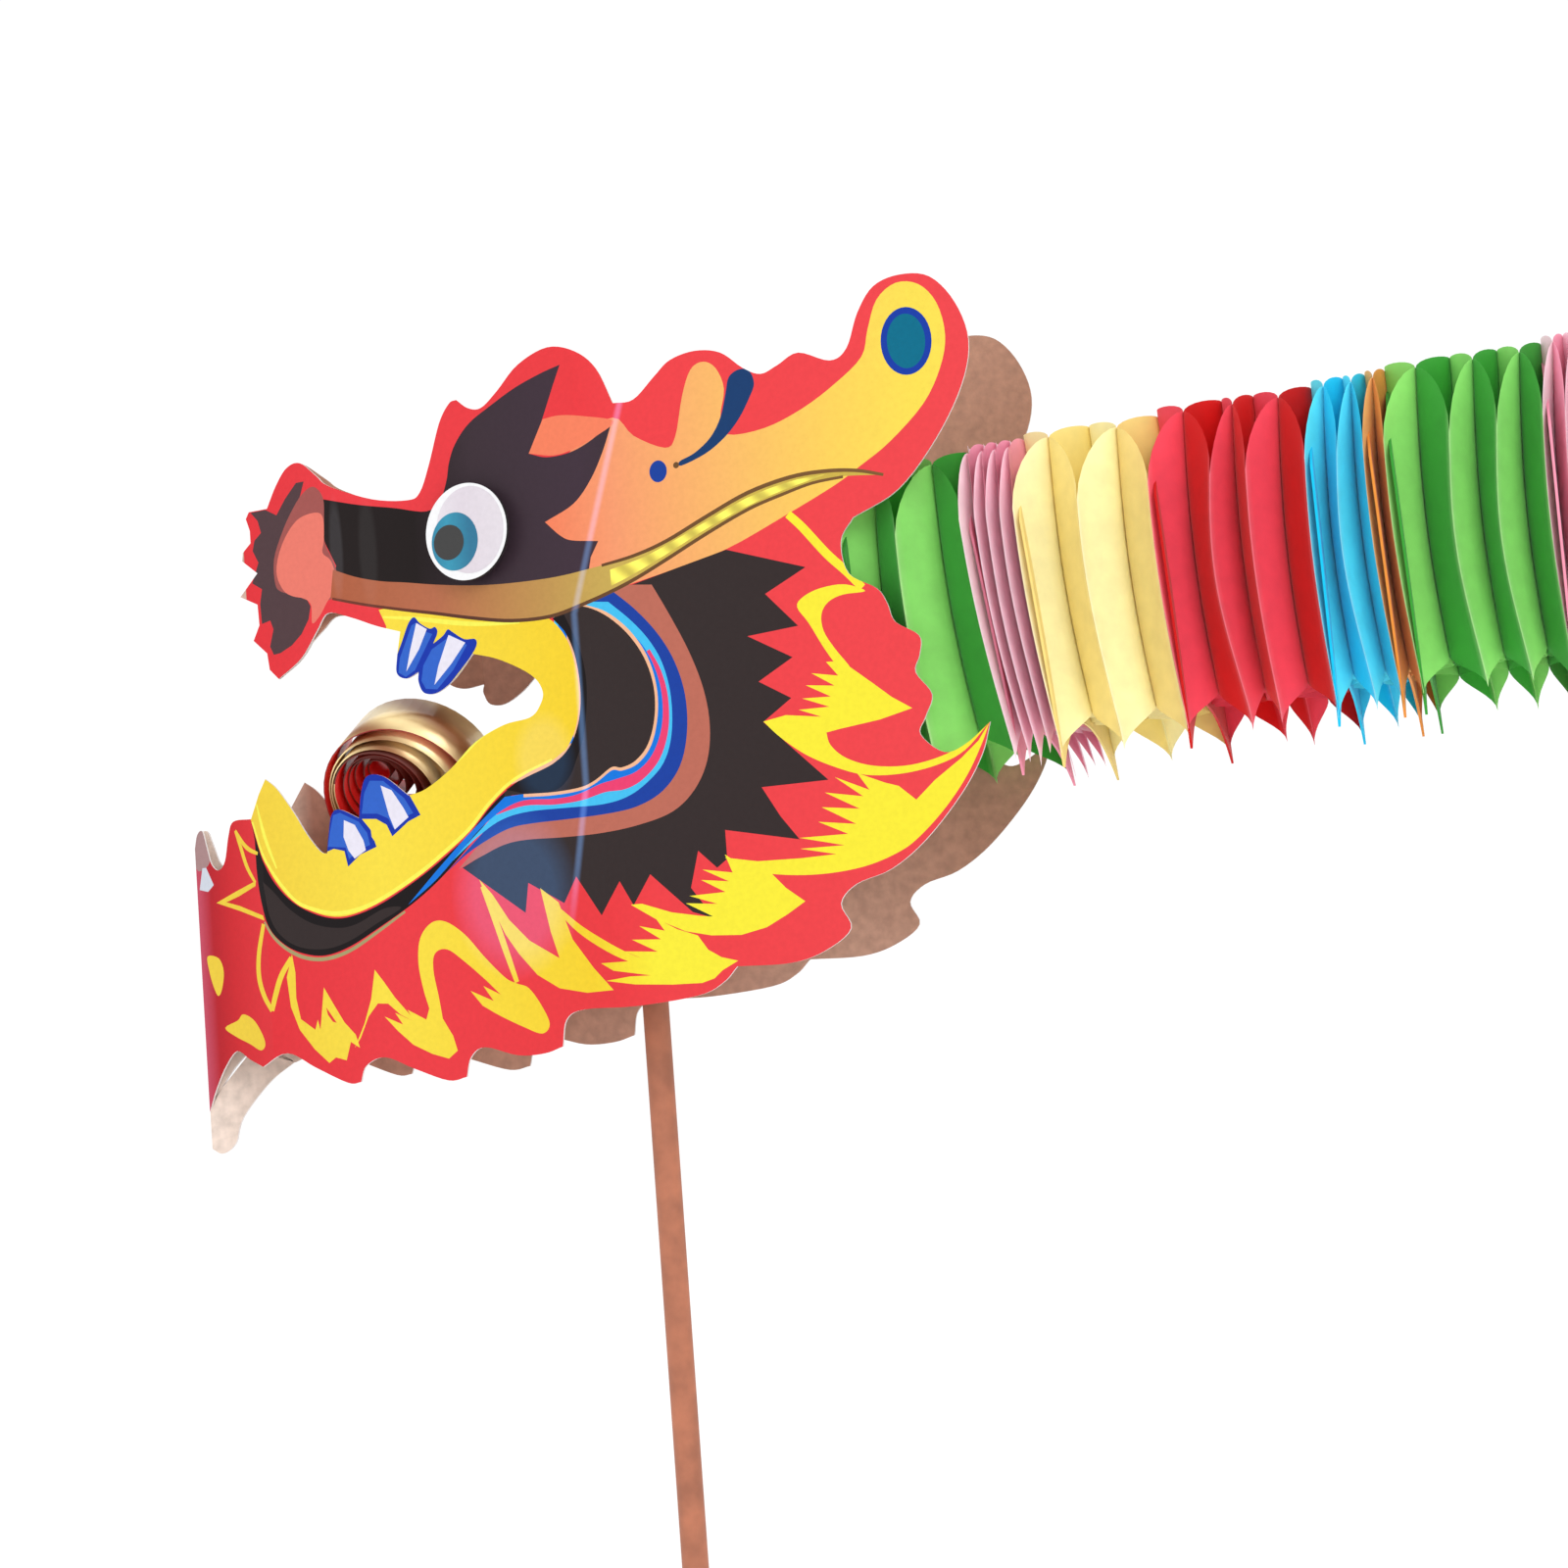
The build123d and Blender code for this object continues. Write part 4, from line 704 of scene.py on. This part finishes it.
HEAD_CREASES = [-96, -94, -92, -60, -30, -2, 0, 2, 30, 60]
JAW_CREASES = [-14, -46, -50, -54, -58, -62, -66, -70, -73, -76, -85]
head_outline = run_points(HEAD_RUNS)
near_card = card_side("head_card_near_side", head_outline, ART, fold_width, -1, HEAD_CREASES)
far_outline = run_points([FAR_BROW if points[0] == (-31, 331) else (kind, points) for kind, points in HEAD_RUNS])
far_card = card_side("head_card_far_side", far_outline, ART, far_width, 1, HEAD_CREASES + JAW_CREASES)
goatee = card_side("head_card_chin_flap", run_points(GOATEE_RUNS), [], fold_width, 1, [])
for o in (near_card, far_card, goatee):
    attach(o, "head")
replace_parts(near_card, "head_card")

# ------------------------------------------------------------- tail artwork
TAIL_RUNS = [
    (S, [(306, 304), (320, 311), (336, 315), (351, 322), (363, 332), (384, 342)]),
    (S, [(384, 342), (376, 331), (374, 323), (380, 318)]),
    (S, [(380, 318), (392, 322), (406, 329), (426, 332)]),
    (S, [(426, 332), (414, 324), (408, 315), (412, 308)]),
    (S, [(412, 308), (426, 310), (441, 309), (459, 302)]),
    (S, [(459, 302), (445, 298), (436, 291), (436, 283)]),
    (S, [(436, 283), (446, 280), (453, 275), (458, 265)]),
    (S, [(458, 265), (446, 269), (434, 269), (427, 263)]),
    (S, [(427, 263), (431, 256), (430, 248), (424, 237)]),
    (S, [(424, 237), (418, 246), (409, 251), (398, 248)]),
    (S, [(398, 248), (397, 241), (391, 233), (379, 227)]),
    (S, [(379, 227), (380, 237), (375, 245), (363, 245)]),
    (S, [(363, 245), (350, 242), (330, 241), (306, 240)]),
    (S, [(306, 240), (303, 250), (308, 260), (302, 272), (308, 284), (303, 294), (306, 304)]),
]
# a yellow flame inside each red one, an orange heart and dark scales, as on the head
TAIL_ART = [
    ("yellow", curve([(318, 305), (334, 309), (350, 315), (362, 324), (377, 337)]) + curve([(377, 337), (370, 327),
      (368, 318), (376, 311)]) + curve([(376, 311), (390, 315), (402, 323), (418, 329)]) + curve([(418, 329),
      (407, 320), (402, 311), (407, 302)]) + curve([(407, 302), (422, 305), (436, 305), (450, 302)]) +
      curve([(450, 302), (438, 298), (430, 291), (430, 280)]) + curve([(430, 280), (440, 277), (447, 273),
      (453, 268)]) + curve([(453, 268), (442, 272), (430, 271), (421, 264)]) + curve([(421, 264), (425, 256),
      (425, 249), (423, 242)]) + curve([(423, 242), (416, 250), (406, 255), (395, 252)]) + curve([(395, 252),
      (393, 244), (388, 237), (382, 232)]) + curve([(382, 232), (383, 241), (376, 249), (363, 249)]) +
      curve([(363, 249), (348, 247), (334, 246), (318, 246)]) + [(324, 262), (318, 276), (324, 290)]),
    ("face", curve([(328, 298), (346, 303), (362, 311), (368, 301), (388, 306), (404, 316), (398, 302), (400, 292),
      (420, 297), (440, 300), (424, 290), (420, 276), (434, 272), (418, 270), (410, 258), (396, 261), (388, 250),
      (384, 244), (380, 256), (364, 257), (346, 254), (330, 254)]) + [(334, 268), (328, 278), (334, 290)]),
    ("mane", [(336, 292), (352, 296), (346, 290), (362, 299), (356, 290), (376, 296), (368, 287), (388, 291),
      (380, 283), (402, 284), (390, 277), (406, 272), (388, 270), (396, 263), (378, 266), (382, 258), (368, 264),
      (366, 259), (356, 265), (350, 260), (346, 265), (336, 261), (342, 276)]),
    ("band_edge", stroke([(342, 284), (356, 286), (372, 284), (388, 279)], 1.2, 0.6)),
    ("terracotta", smooth((346, 284), (356, 288), (370, 287), (384, 281), (372, 276), (358, 272), (346, 273),
      (350, 278))),
    ("mid_blue", smooth((350, 283), (359, 286), (369, 284), (378, 280), (368, 277), (358, 275), (350, 275),
      (354, 279))),
    ("cyan", smooth((355, 282), (361, 284), (367, 282), (372, 280), (366, 278), (360, 277), (355, 277), (358, 280))),
    ("lemon", stroke([(330, 309), (348, 314), (362, 322), (372, 331)], 1.1, 0.8)),
    ("lemon", stroke([(380, 312), (394, 317), (408, 324)], 1.0, 0.8)),
    ("lemon", stroke([(408, 304), (424, 307), (440, 305)], 1.0, 0.8)),
    ("red", stroke([(326, 251), (344, 251), (362, 253), (376, 252)], 1.2, 0.8)),
    ("red", stroke([(392, 256), (404, 258), (414, 254)], 1.0, 0.8)),
    ("red", stroke([(330, 303), (346, 308), (358, 315)], 1.2, 0.8)),
]


TAIL_X0, TAIL_JOIN_X, TAIL_SPREAD = 322, 396, 28.6  # the panels part behind the body and join behind the stick
TAIL_CREASES = [TAIL_X0, 340, 360, 380, TAIL_JOIN_X]


def tail_width(x, z):
    """Half width of the tail: parallel panels that close to one thickness behind the stick."""
    return CARD + TAIL_SPREAD * max(0.0, min(1.0, (TAIL_JOIN_X - x) / (TAIL_JOIN_X - TAIL_X0)))


def tail_panel(name, side):
    panel = card_side(name, run_points(TAIL_RUNS), TAIL_ART, tail_width, side, TAIL_CREASES)
    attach(panel, "tail")
    return panel


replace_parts(tail_panel("tail_card_near_panel", -1), "tail_card")
tail_panel("tail_card_far_panel", 1)

# ------------------------------------------------------------------- eyes
EYE_WHITE = print_ink("eye_white", [(-42, (244, 240, 246)), (-30, (228, 218, 228)), (-20, (232, 224, 232))], coat=0.5)
EYE_RIM = print_ink("eye_rim", (252, 252, 254), coat=0.5)
EYE_TEAL = print_ink("eye_teal", [(-40, (26, 124, 160)), (-34, (40, 152, 184)), (-28, (24, 116, 152))], coat=0.5)
EYE_BLACK = print_ink("eye_black", (52, 52, 52), coat=0.5)
EYE_SIDE = material("eye_side", (30, 28, 30), rough=0.7)
FOAM = material("foam", (222, 220, 214), rough=0.9, bump=0.5, bump_scale=1500.0, vary=0.1)


def eye(node, side, tilt):
    lo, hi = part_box(node)
    centre = (lo + hi) / 2
    normal = Vector((-math.sin(tilt), side * math.cos(tilt), 0))
    across = Vector((math.cos(tilt), side * math.sin(tilt), 0))
    up = Vector((0, 0, 1))
    bm = bmesh.new()
    n = 72
    depth = 0.8 * MM

    def disc(cx, cz, rx, rz, height, mat, tilt_deg=0.0):
        ring = []
        for p in ellipse(cx, cz, rx, rz, tilt_deg, n):
            ring.append(bm.verts.new(centre + across * (p[0] * MM) + up * (p[1] * MM) + normal * height))
        face = bm.faces.new(ring if side < 0 else ring[::-1])
        face.material_index = mat
        return ring

    top = disc(0, 0, 11, 11, depth / 2, 1)
    low = disc(0, 0, 11, 11, -depth / 2, 4)
    for k in range(n):
        quad = [top[k], top[(k + 1) % n], low[(k + 1) % n], low[k]]
        face = bm.faces.new(quad[::-1] if side < 0 else quad)
        face.material_index = 4
    disc(1.0, 0.3, 9.1, 9.9, depth / 2 + 0.03 * MM, 0, 8)
    disc(-3.2, -1.8, 6.3, 6.6, depth / 2 + 0.06 * MM, 2)
    disc(-4.8, -1.8, 4.1, 4.0, depth / 2 + 0.09 * MM, 3)
    obj = make_object(bm, node + "_print", (EYE_WHITE, EYE_RIM, EYE_TEAL, EYE_BLACK, EYE_SIDE))
    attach(obj, "head")
    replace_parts(obj, node)


eye("near_eye_disc", -1, math.atan(14 / 94))
eye("far_eye_disc", 1, math.atan(2.7 / 32.6))

# ------------------------------------------------------------------- body
PAPER = {}


def paper(name, tone, rim):
    m = material("paper_" + name, tone, rough=0.6, vary=0.05, grain=260.0, bump=0.16, bump_scale=420.0,
                 translucent=0.24, shine=0.2, rim=rim)
    shader = next(n for n in m.node_tree.nodes if n.type == "BSDF_PRINCIPLED")
    shader.inputs["Sheen Weight"].default_value = 0.15
    shader.inputs["Sheen Tint"].default_value = (1, 1, 1, 1)
    return m


# tissue paper in a lit copy and a painted shade copy: the lit tone of the sheets turned to the rear, the painted
# shade tone of those turned to the front, and the tone of the outer edge, a painted highlight
TONES = {
    "green": ((146, 230, 112), (56, 160, 52), (204, 248, 172)),
    "pink": ((255, 228, 238), (246, 160, 184), (255, 242, 247)),
    "yellow": ((254, 246, 184), (244, 222, 136), (255, 252, 214)),
    "red": ((244, 72, 92), (208, 10, 8), (254, 140, 158)),
    "blue": ((90, 238, 255), (4, 204, 242), (180, 244, 254)),
    "orange": ((252, 190, 108), (236, 152, 62), (255, 214, 150)),
}
for name, (lit_tone, shaded_tone, edge_highlight_tone) in TONES.items():
    PAPER[name] = (paper(name, lit_tone, edge_highlight_tone), paper(name + "_painted_shade", shaded_tone, edge_highlight_tone))

# section, x of the rear ridge at the top and bottom, places of the ridges between (share of the length)
SECTIONS = [
    ("green_1", 86.0, 94.5, [0.46]),
    ("pink_1", 98.0, 104.0, [0.3, 0.52, 0.76]),
    ("yellow_1", 126.5, 130.0, [0.49]),
    ("red_1", 158.0, 159.0, [0.42, 0.63]),
    ("blue_1", 169.0, 171.5, [0.58]),
    ("orange_1", 173.0, 175.5, []),
    ("green_2", 203.0, 203.0, [0.42, 0.72]),
    ("pink_2", 218.0, 218.0, [0.28, 0.5, 0.74]),
    ("yellow_2", 245.0, 245.0, [0.52]),
    ("red_2", 274.0, 274.0, [0.38, 0.6]),
    ("blue_2", 287.0, 287.0, [0.5]),
    ("orange_2", 292.0, 292.0, []),
    ("green_3", 318.0, 318.0, [0.36, 0.7]),
]


def between(top, bottom, z):
    return bottom + (top - bottom) * (z - 236.0) / 64.0


def top_edge(s):
    # round domes inside, then from a point two thirds out a shoulder down to the outer edge
    share = (1 - math.cos(3 * math.pi * s)) / 2
    if s < 0.667:
        return 300.2 + 3.2 * math.sqrt(1 - (1 - share) ** 2)
    return 300.2 - 3.0 * share - 12.5 * (1 - math.sqrt(1 - share ** 2))


def bottom_edge(s, tip):
    if s < 0.66:
        return 242.6 - 0.6 * s
    return 242.2 - tip * ((s - 0.66) / 0.34) ** 1.3


def sheet_mesh(bm, rim, ridge, valley, depth, lift, wave, flip, mat):
    """One pleated sheet. It meets one neighbour at the outer edges and a third of the way out, and the
    other neighbour on the centre line and two thirds out."""
    rows, cols = 16, 48
    bow, swing, tips = wave
    grid = []
    for j in range(cols + 1):
        y = -depth + 2 * depth * j / cols
        s = abs(y) / depth
        ridge_share = (1 - math.cos(3 * math.pi * s)) / 2
        lo = bottom_edge(s, tips[0] if y < 0 else tips[1]) + lift
        hi = top_edge(s) + lift
        column = []
        for i in range(rows + 1):
            z = lo + (hi - lo) * i / rows
            up = min(max((z - lift - 236) / 64, 0), 1)
            x = between(*valley, z) + (between(*ridge, z) - between(*valley, z)) * ridge_share
            x -= (1.6 + bow * ridge_share) * math.sin(math.pi * up)
            x += swing * ridge_share * math.sin(7.5 * up + 5 * swing)
            vert = bm.verts.new((x * MM, y * MM, z * MM))
            # mask of the painted highlight along the outer edge
            vert[rim] = max(0.0, min(1.0, (s - 0.95) / 0.05))
            column.append(vert)
        grid.append(column)
    for j in range(cols):
        for i in range(rows):
            quad = [grid[j][i], grid[j + 1][i], grid[j + 1][i + 1], grid[j][i + 1]]
            face = bm.faces.new(quad[::-1] if flip else quad)
            face.material_index = mat
            face.smooth = True


front = (60.0, 62.0)
for index, (name, top, bottom, shares) in enumerate(SECTIONS):
    rear = (top, bottom)
    depth = 26.5 if index in (0, len(SECTIONS) - 1) else 30.0
    ridges = []
    for share in [0.0] + shares + [1.0]:
        ridges.append(tuple(front[k] + (rear[k] - front[k]) * share for k in range(2)))
    lift = 0.045 * ((front[0] + rear[0]) / 2 - 60)
    bm = bmesh.new()
    rim = bm.verts.layers.float.new("rim")
    spread = (rear[0] - front[0]) / (len(ridges) - 1)
    waves = []
    for k in range(len(ridges)):
        loose = 0.0 if k in (0, len(ridges) - 1) else min(1.0, spread / 8)
        tips = (8.7 + random.uniform(-1.8, 1.2), 8.7 + random.uniform(-1.8, 1.2))
        waves.append((loose * random.uniform(0.0, 1.4), loose * random.uniform(-0.45, 0.45), tips))
    for k, (a, b) in enumerate(zip(ridges, ridges[1:])):
        valley = tuple((a[m] + b[m]) / 2 for m in range(2))
        # sheets from ridge a take the lit copy, sheets from ridge b the painted shade copy
        sheet_mesh(bm, rim, a, valley, depth, lift, waves[k], False, 0)
        sheet_mesh(bm, rim, b, valley, depth, lift, waves[k + 1], True, 1)
    obj = make_object(bm, "paper_" + name, PAPER[name.split("_")[0]])
    middle = 270 + lift
    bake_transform(obj)
    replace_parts(obj, "pleats_" + name)
    front = rear

# -------------------------------------------------------------- plain nodes
WOOD = material("stick_wood", (168, 102, 74), rough=0.6, vary=0.2, grain=160.0, bump=0.3, bump_scale=260.0)
TAPE = material("tape", (226, 216, 188), rough=0.35, vary=0.06)
PLAIN = material("plain_card", (176, 140, 116), rough=0.85, vary=0.12, grain=420.0, bump=0.25)
# gold foil; its dark brown wave bands are painted reflection of dark surroundings
FOIL_GOLD = material("foil_gold", (246, 220, 160), rough=0.3, coat=0.3, vary=0.1, grain=120.0, bump=0.25,
                     bump_scale=300.0, metal=0.4, stripes=((150, 96, 54), 26.0))
FOIL_RED = material("foil_red", (206, 16, 10), rough=0.4, coat=0.2, vary=0.1, grain=120.0, shine=0.3)
# a darker gold with dark bands: painted shade and painted reflection for the insides of the inner turns
FOIL_GOLD_IN_SHADE = material("foil_gold_in_shade", (206, 160, 92), rough=0.3, coat=0.2, vary=0.12, grain=120.0, metal=0.6,
                       stripes=((96, 48, 26), 40.0))
# core: dark brown red, painted shade in the hollow of the coil
FOIL_CORE = material("foil_core", (96, 30, 18), rough=0.45, coat=0.2, vary=0.2, grain=120.0, shine=0.3)
FOIL_EDGE = material("foil_edge", (140, 10, 10), rough=0.5, vary=0.08)

# tongue: a foil strip, gold outside and red inside, wound up from its large outer turn and pulled out
COIL = Vector((-56.0, 0.0, 244.3))
COIL_TURNS, COIL_R, COIL_SHIFT, FOIL_T = 8.4, 21.2, 1.3, 0.28
CORE_TURN = 3.2  # from here on the strip winds tighter and runs back inside
coil_tilt = math.radians(32)
COIL_AXIS = Vector((0, -math.cos(coil_tilt), -math.sin(coil_tilt)))
COIL_UP = Vector((0, -math.sin(coil_tilt), math.cos(coil_tilt)))


def coil_point(turn, radius, along):
    a = math.radians(-90 - 360 * turn)
    shift = COIL_SHIFT * min(turn, CORE_TURN) + 0.75 * max(0.0, turn - CORE_TURN)
    across = Vector((1, 0, 0)) * (radius * math.cos(a) - shift) + COIL_UP * (radius * math.sin(a) + shift)
    return (COIL + across + COIL_AXIS * along) * MM


bm = bmesh.new()
steps = 400
rings = []
for k in range(steps + 1):
    turn = COIL_TURNS * k / steps
    core = max(0.0, turn - CORE_TURN)
    radius = COIL_R - 2.9 * turn + 0.95 * core + 0.35 * math.sin(4.1 * turn)
    middle = 1.4 * (turn - core) - 1.0 - 1.5 * core
    half = 7.8 - 0.4 * turn + 0.2 * core
    corners = []
    for r, w in ((radius + FOIL_T / 2, -half), (radius + FOIL_T / 2, half), (radius - FOIL_T / 2, half),
                 (radius - FOIL_T / 2, -half)):
        corners.append(bm.verts.new(coil_point(turn, r, middle + w)))
    rings.append(corners)
for step, (a, b) in enumerate(zip(rings, rings[1:])):
    turn = COIL_TURNS * step / steps
    # the core turns take the dark core colour and the insides of turns 1.1 to 2.8 the darker gold, both painted shade
    outside_mat = 4 if turn > 3.3 else 0
    inside_mat = 3 if 1.1 < turn < 2.8 else 1
    edge_mat = 2 if turn < 1.1 else outside_mat
    for k, mat in enumerate((outside_mat, edge_mat, inside_mat, edge_mat)):
        face = bm.faces.new([a[k], b[k], b[(k + 1) % 4], a[(k + 1) % 4]])
        face.material_index = mat
        face.smooth = k % 2 == 0
bm.faces.new(rings[0])
bm.faces.new(rings[-1][::-1])
bmesh.ops.recalc_face_normals(bm, faces=bm.faces[:])
tongue = make_object(bm, "tongue_spiral", (FOIL_GOLD, FOIL_RED, FOIL_EDGE, FOIL_GOLD_IN_SHADE, FOIL_CORE))
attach(tongue, "tongue")
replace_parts(tongue, "tongue_coil")


def paint(node, mat):
    o = frame["nodes"][node]
    o.data.materials.clear()
    o.data.materials.append(mat)


slots = {row["node"]: row["material_slot"] for row in frame["record"]["subparts"]}
for node in frame["nodes"]:
    if node.startswith("leaf_") or node in ("neck_leaf", "tail_leaf"):
        # leaves take the painted shade copy of their paper
        paint(node, PAPER[slots[node].split("_")[0]][1])
    elif node.endswith("bridge"):
        paint(node, PLAIN)
    elif node.endswith("tapes"):
        paint(node, TAPE)
    elif node.endswith("stick"):
        paint(node, WOOD)
    elif node.endswith("eye_pad"):
        paint(node, FOAM)
    elif node in ("tongue_tab", "tongue_foot"):
        paint(node, FOIL_GOLD)

# -------------------------------------------------------------- stage
floor_mat = material("stage_floor", (255, 255, 255), rough=0.9, vary=0.0, bump=0.0, shine=0.1)
bpy.ops.mesh.primitive_plane_add(size=30, location=(0, 0, -0.0015))
floor = bpy.context.object
floor.name = "floor"
floor.data.materials.append(floor_mat)

world = bpy.data.worlds.new("studio")
bpy.context.scene.world = world
world.use_nodes = True
world.node_tree.nodes["Background"].inputs[0].default_value = (1, 1, 1, 1)
world.node_tree.nodes["Background"].inputs[1].default_value = 1.05


def area(name, where, target, size, power):
    data = bpy.data.lights.new(name, "AREA")
    data.size = size
    data.energy = power
    obj = bpy.data.objects.new(name, data)
    bpy.context.scene.collection.objects.link(obj)
    obj.location = where
    obj.rotation_euler = (Vector(target) - Vector(where)).to_track_quat("-Z", "Y").to_euler()
    return obj


area("key", (0.95, -1.1, 1.1), (0.1, 0, 0.27), 0.7, 8.0)
area("fill", (-1.0, -1.2, 0.6), (0.05, 0, 0.27), 0.9, 1.0)

# camera at the photo's viewing angle, in the row frame
azimuth, elevation, roll = math.radians(18.5), math.radians(-4.0), math.radians(4.3)
flat = math.cos(elevation)
back = Vector((math.sin(azimuth) * flat, -math.cos(azimuth) * flat, math.sin(elevation)))
right0 = Vector((math.cos(azimuth), math.sin(azimuth), 0))
up0 = right0.cross(-back)
right = math.cos(roll) * right0 - math.sin(roll) * up0
up = math.sin(roll) * right0 + math.cos(roll) * up0
CAMERA_AT = (0.1985, -0.4899, 0.2015)
camera_data = bpy.data.cameras.new("camera")
camera = bpy.data.objects.new("camera", camera_data)
bpy.context.scene.collection.objects.link(camera)
camera_data.lens = 53.15
camera_data.sensor_width = 36.0
camera_data.clip_start = 0.01
rows = [(right[k], up[k], back[k], CAMERA_AT[k]) for k in range(3)]
camera.matrix_world = Matrix((*rows, (0, 0, 0, 1)))
bpy.context.scene.camera = camera
bpy.context.scene.view_settings.view_transform = "Standard"
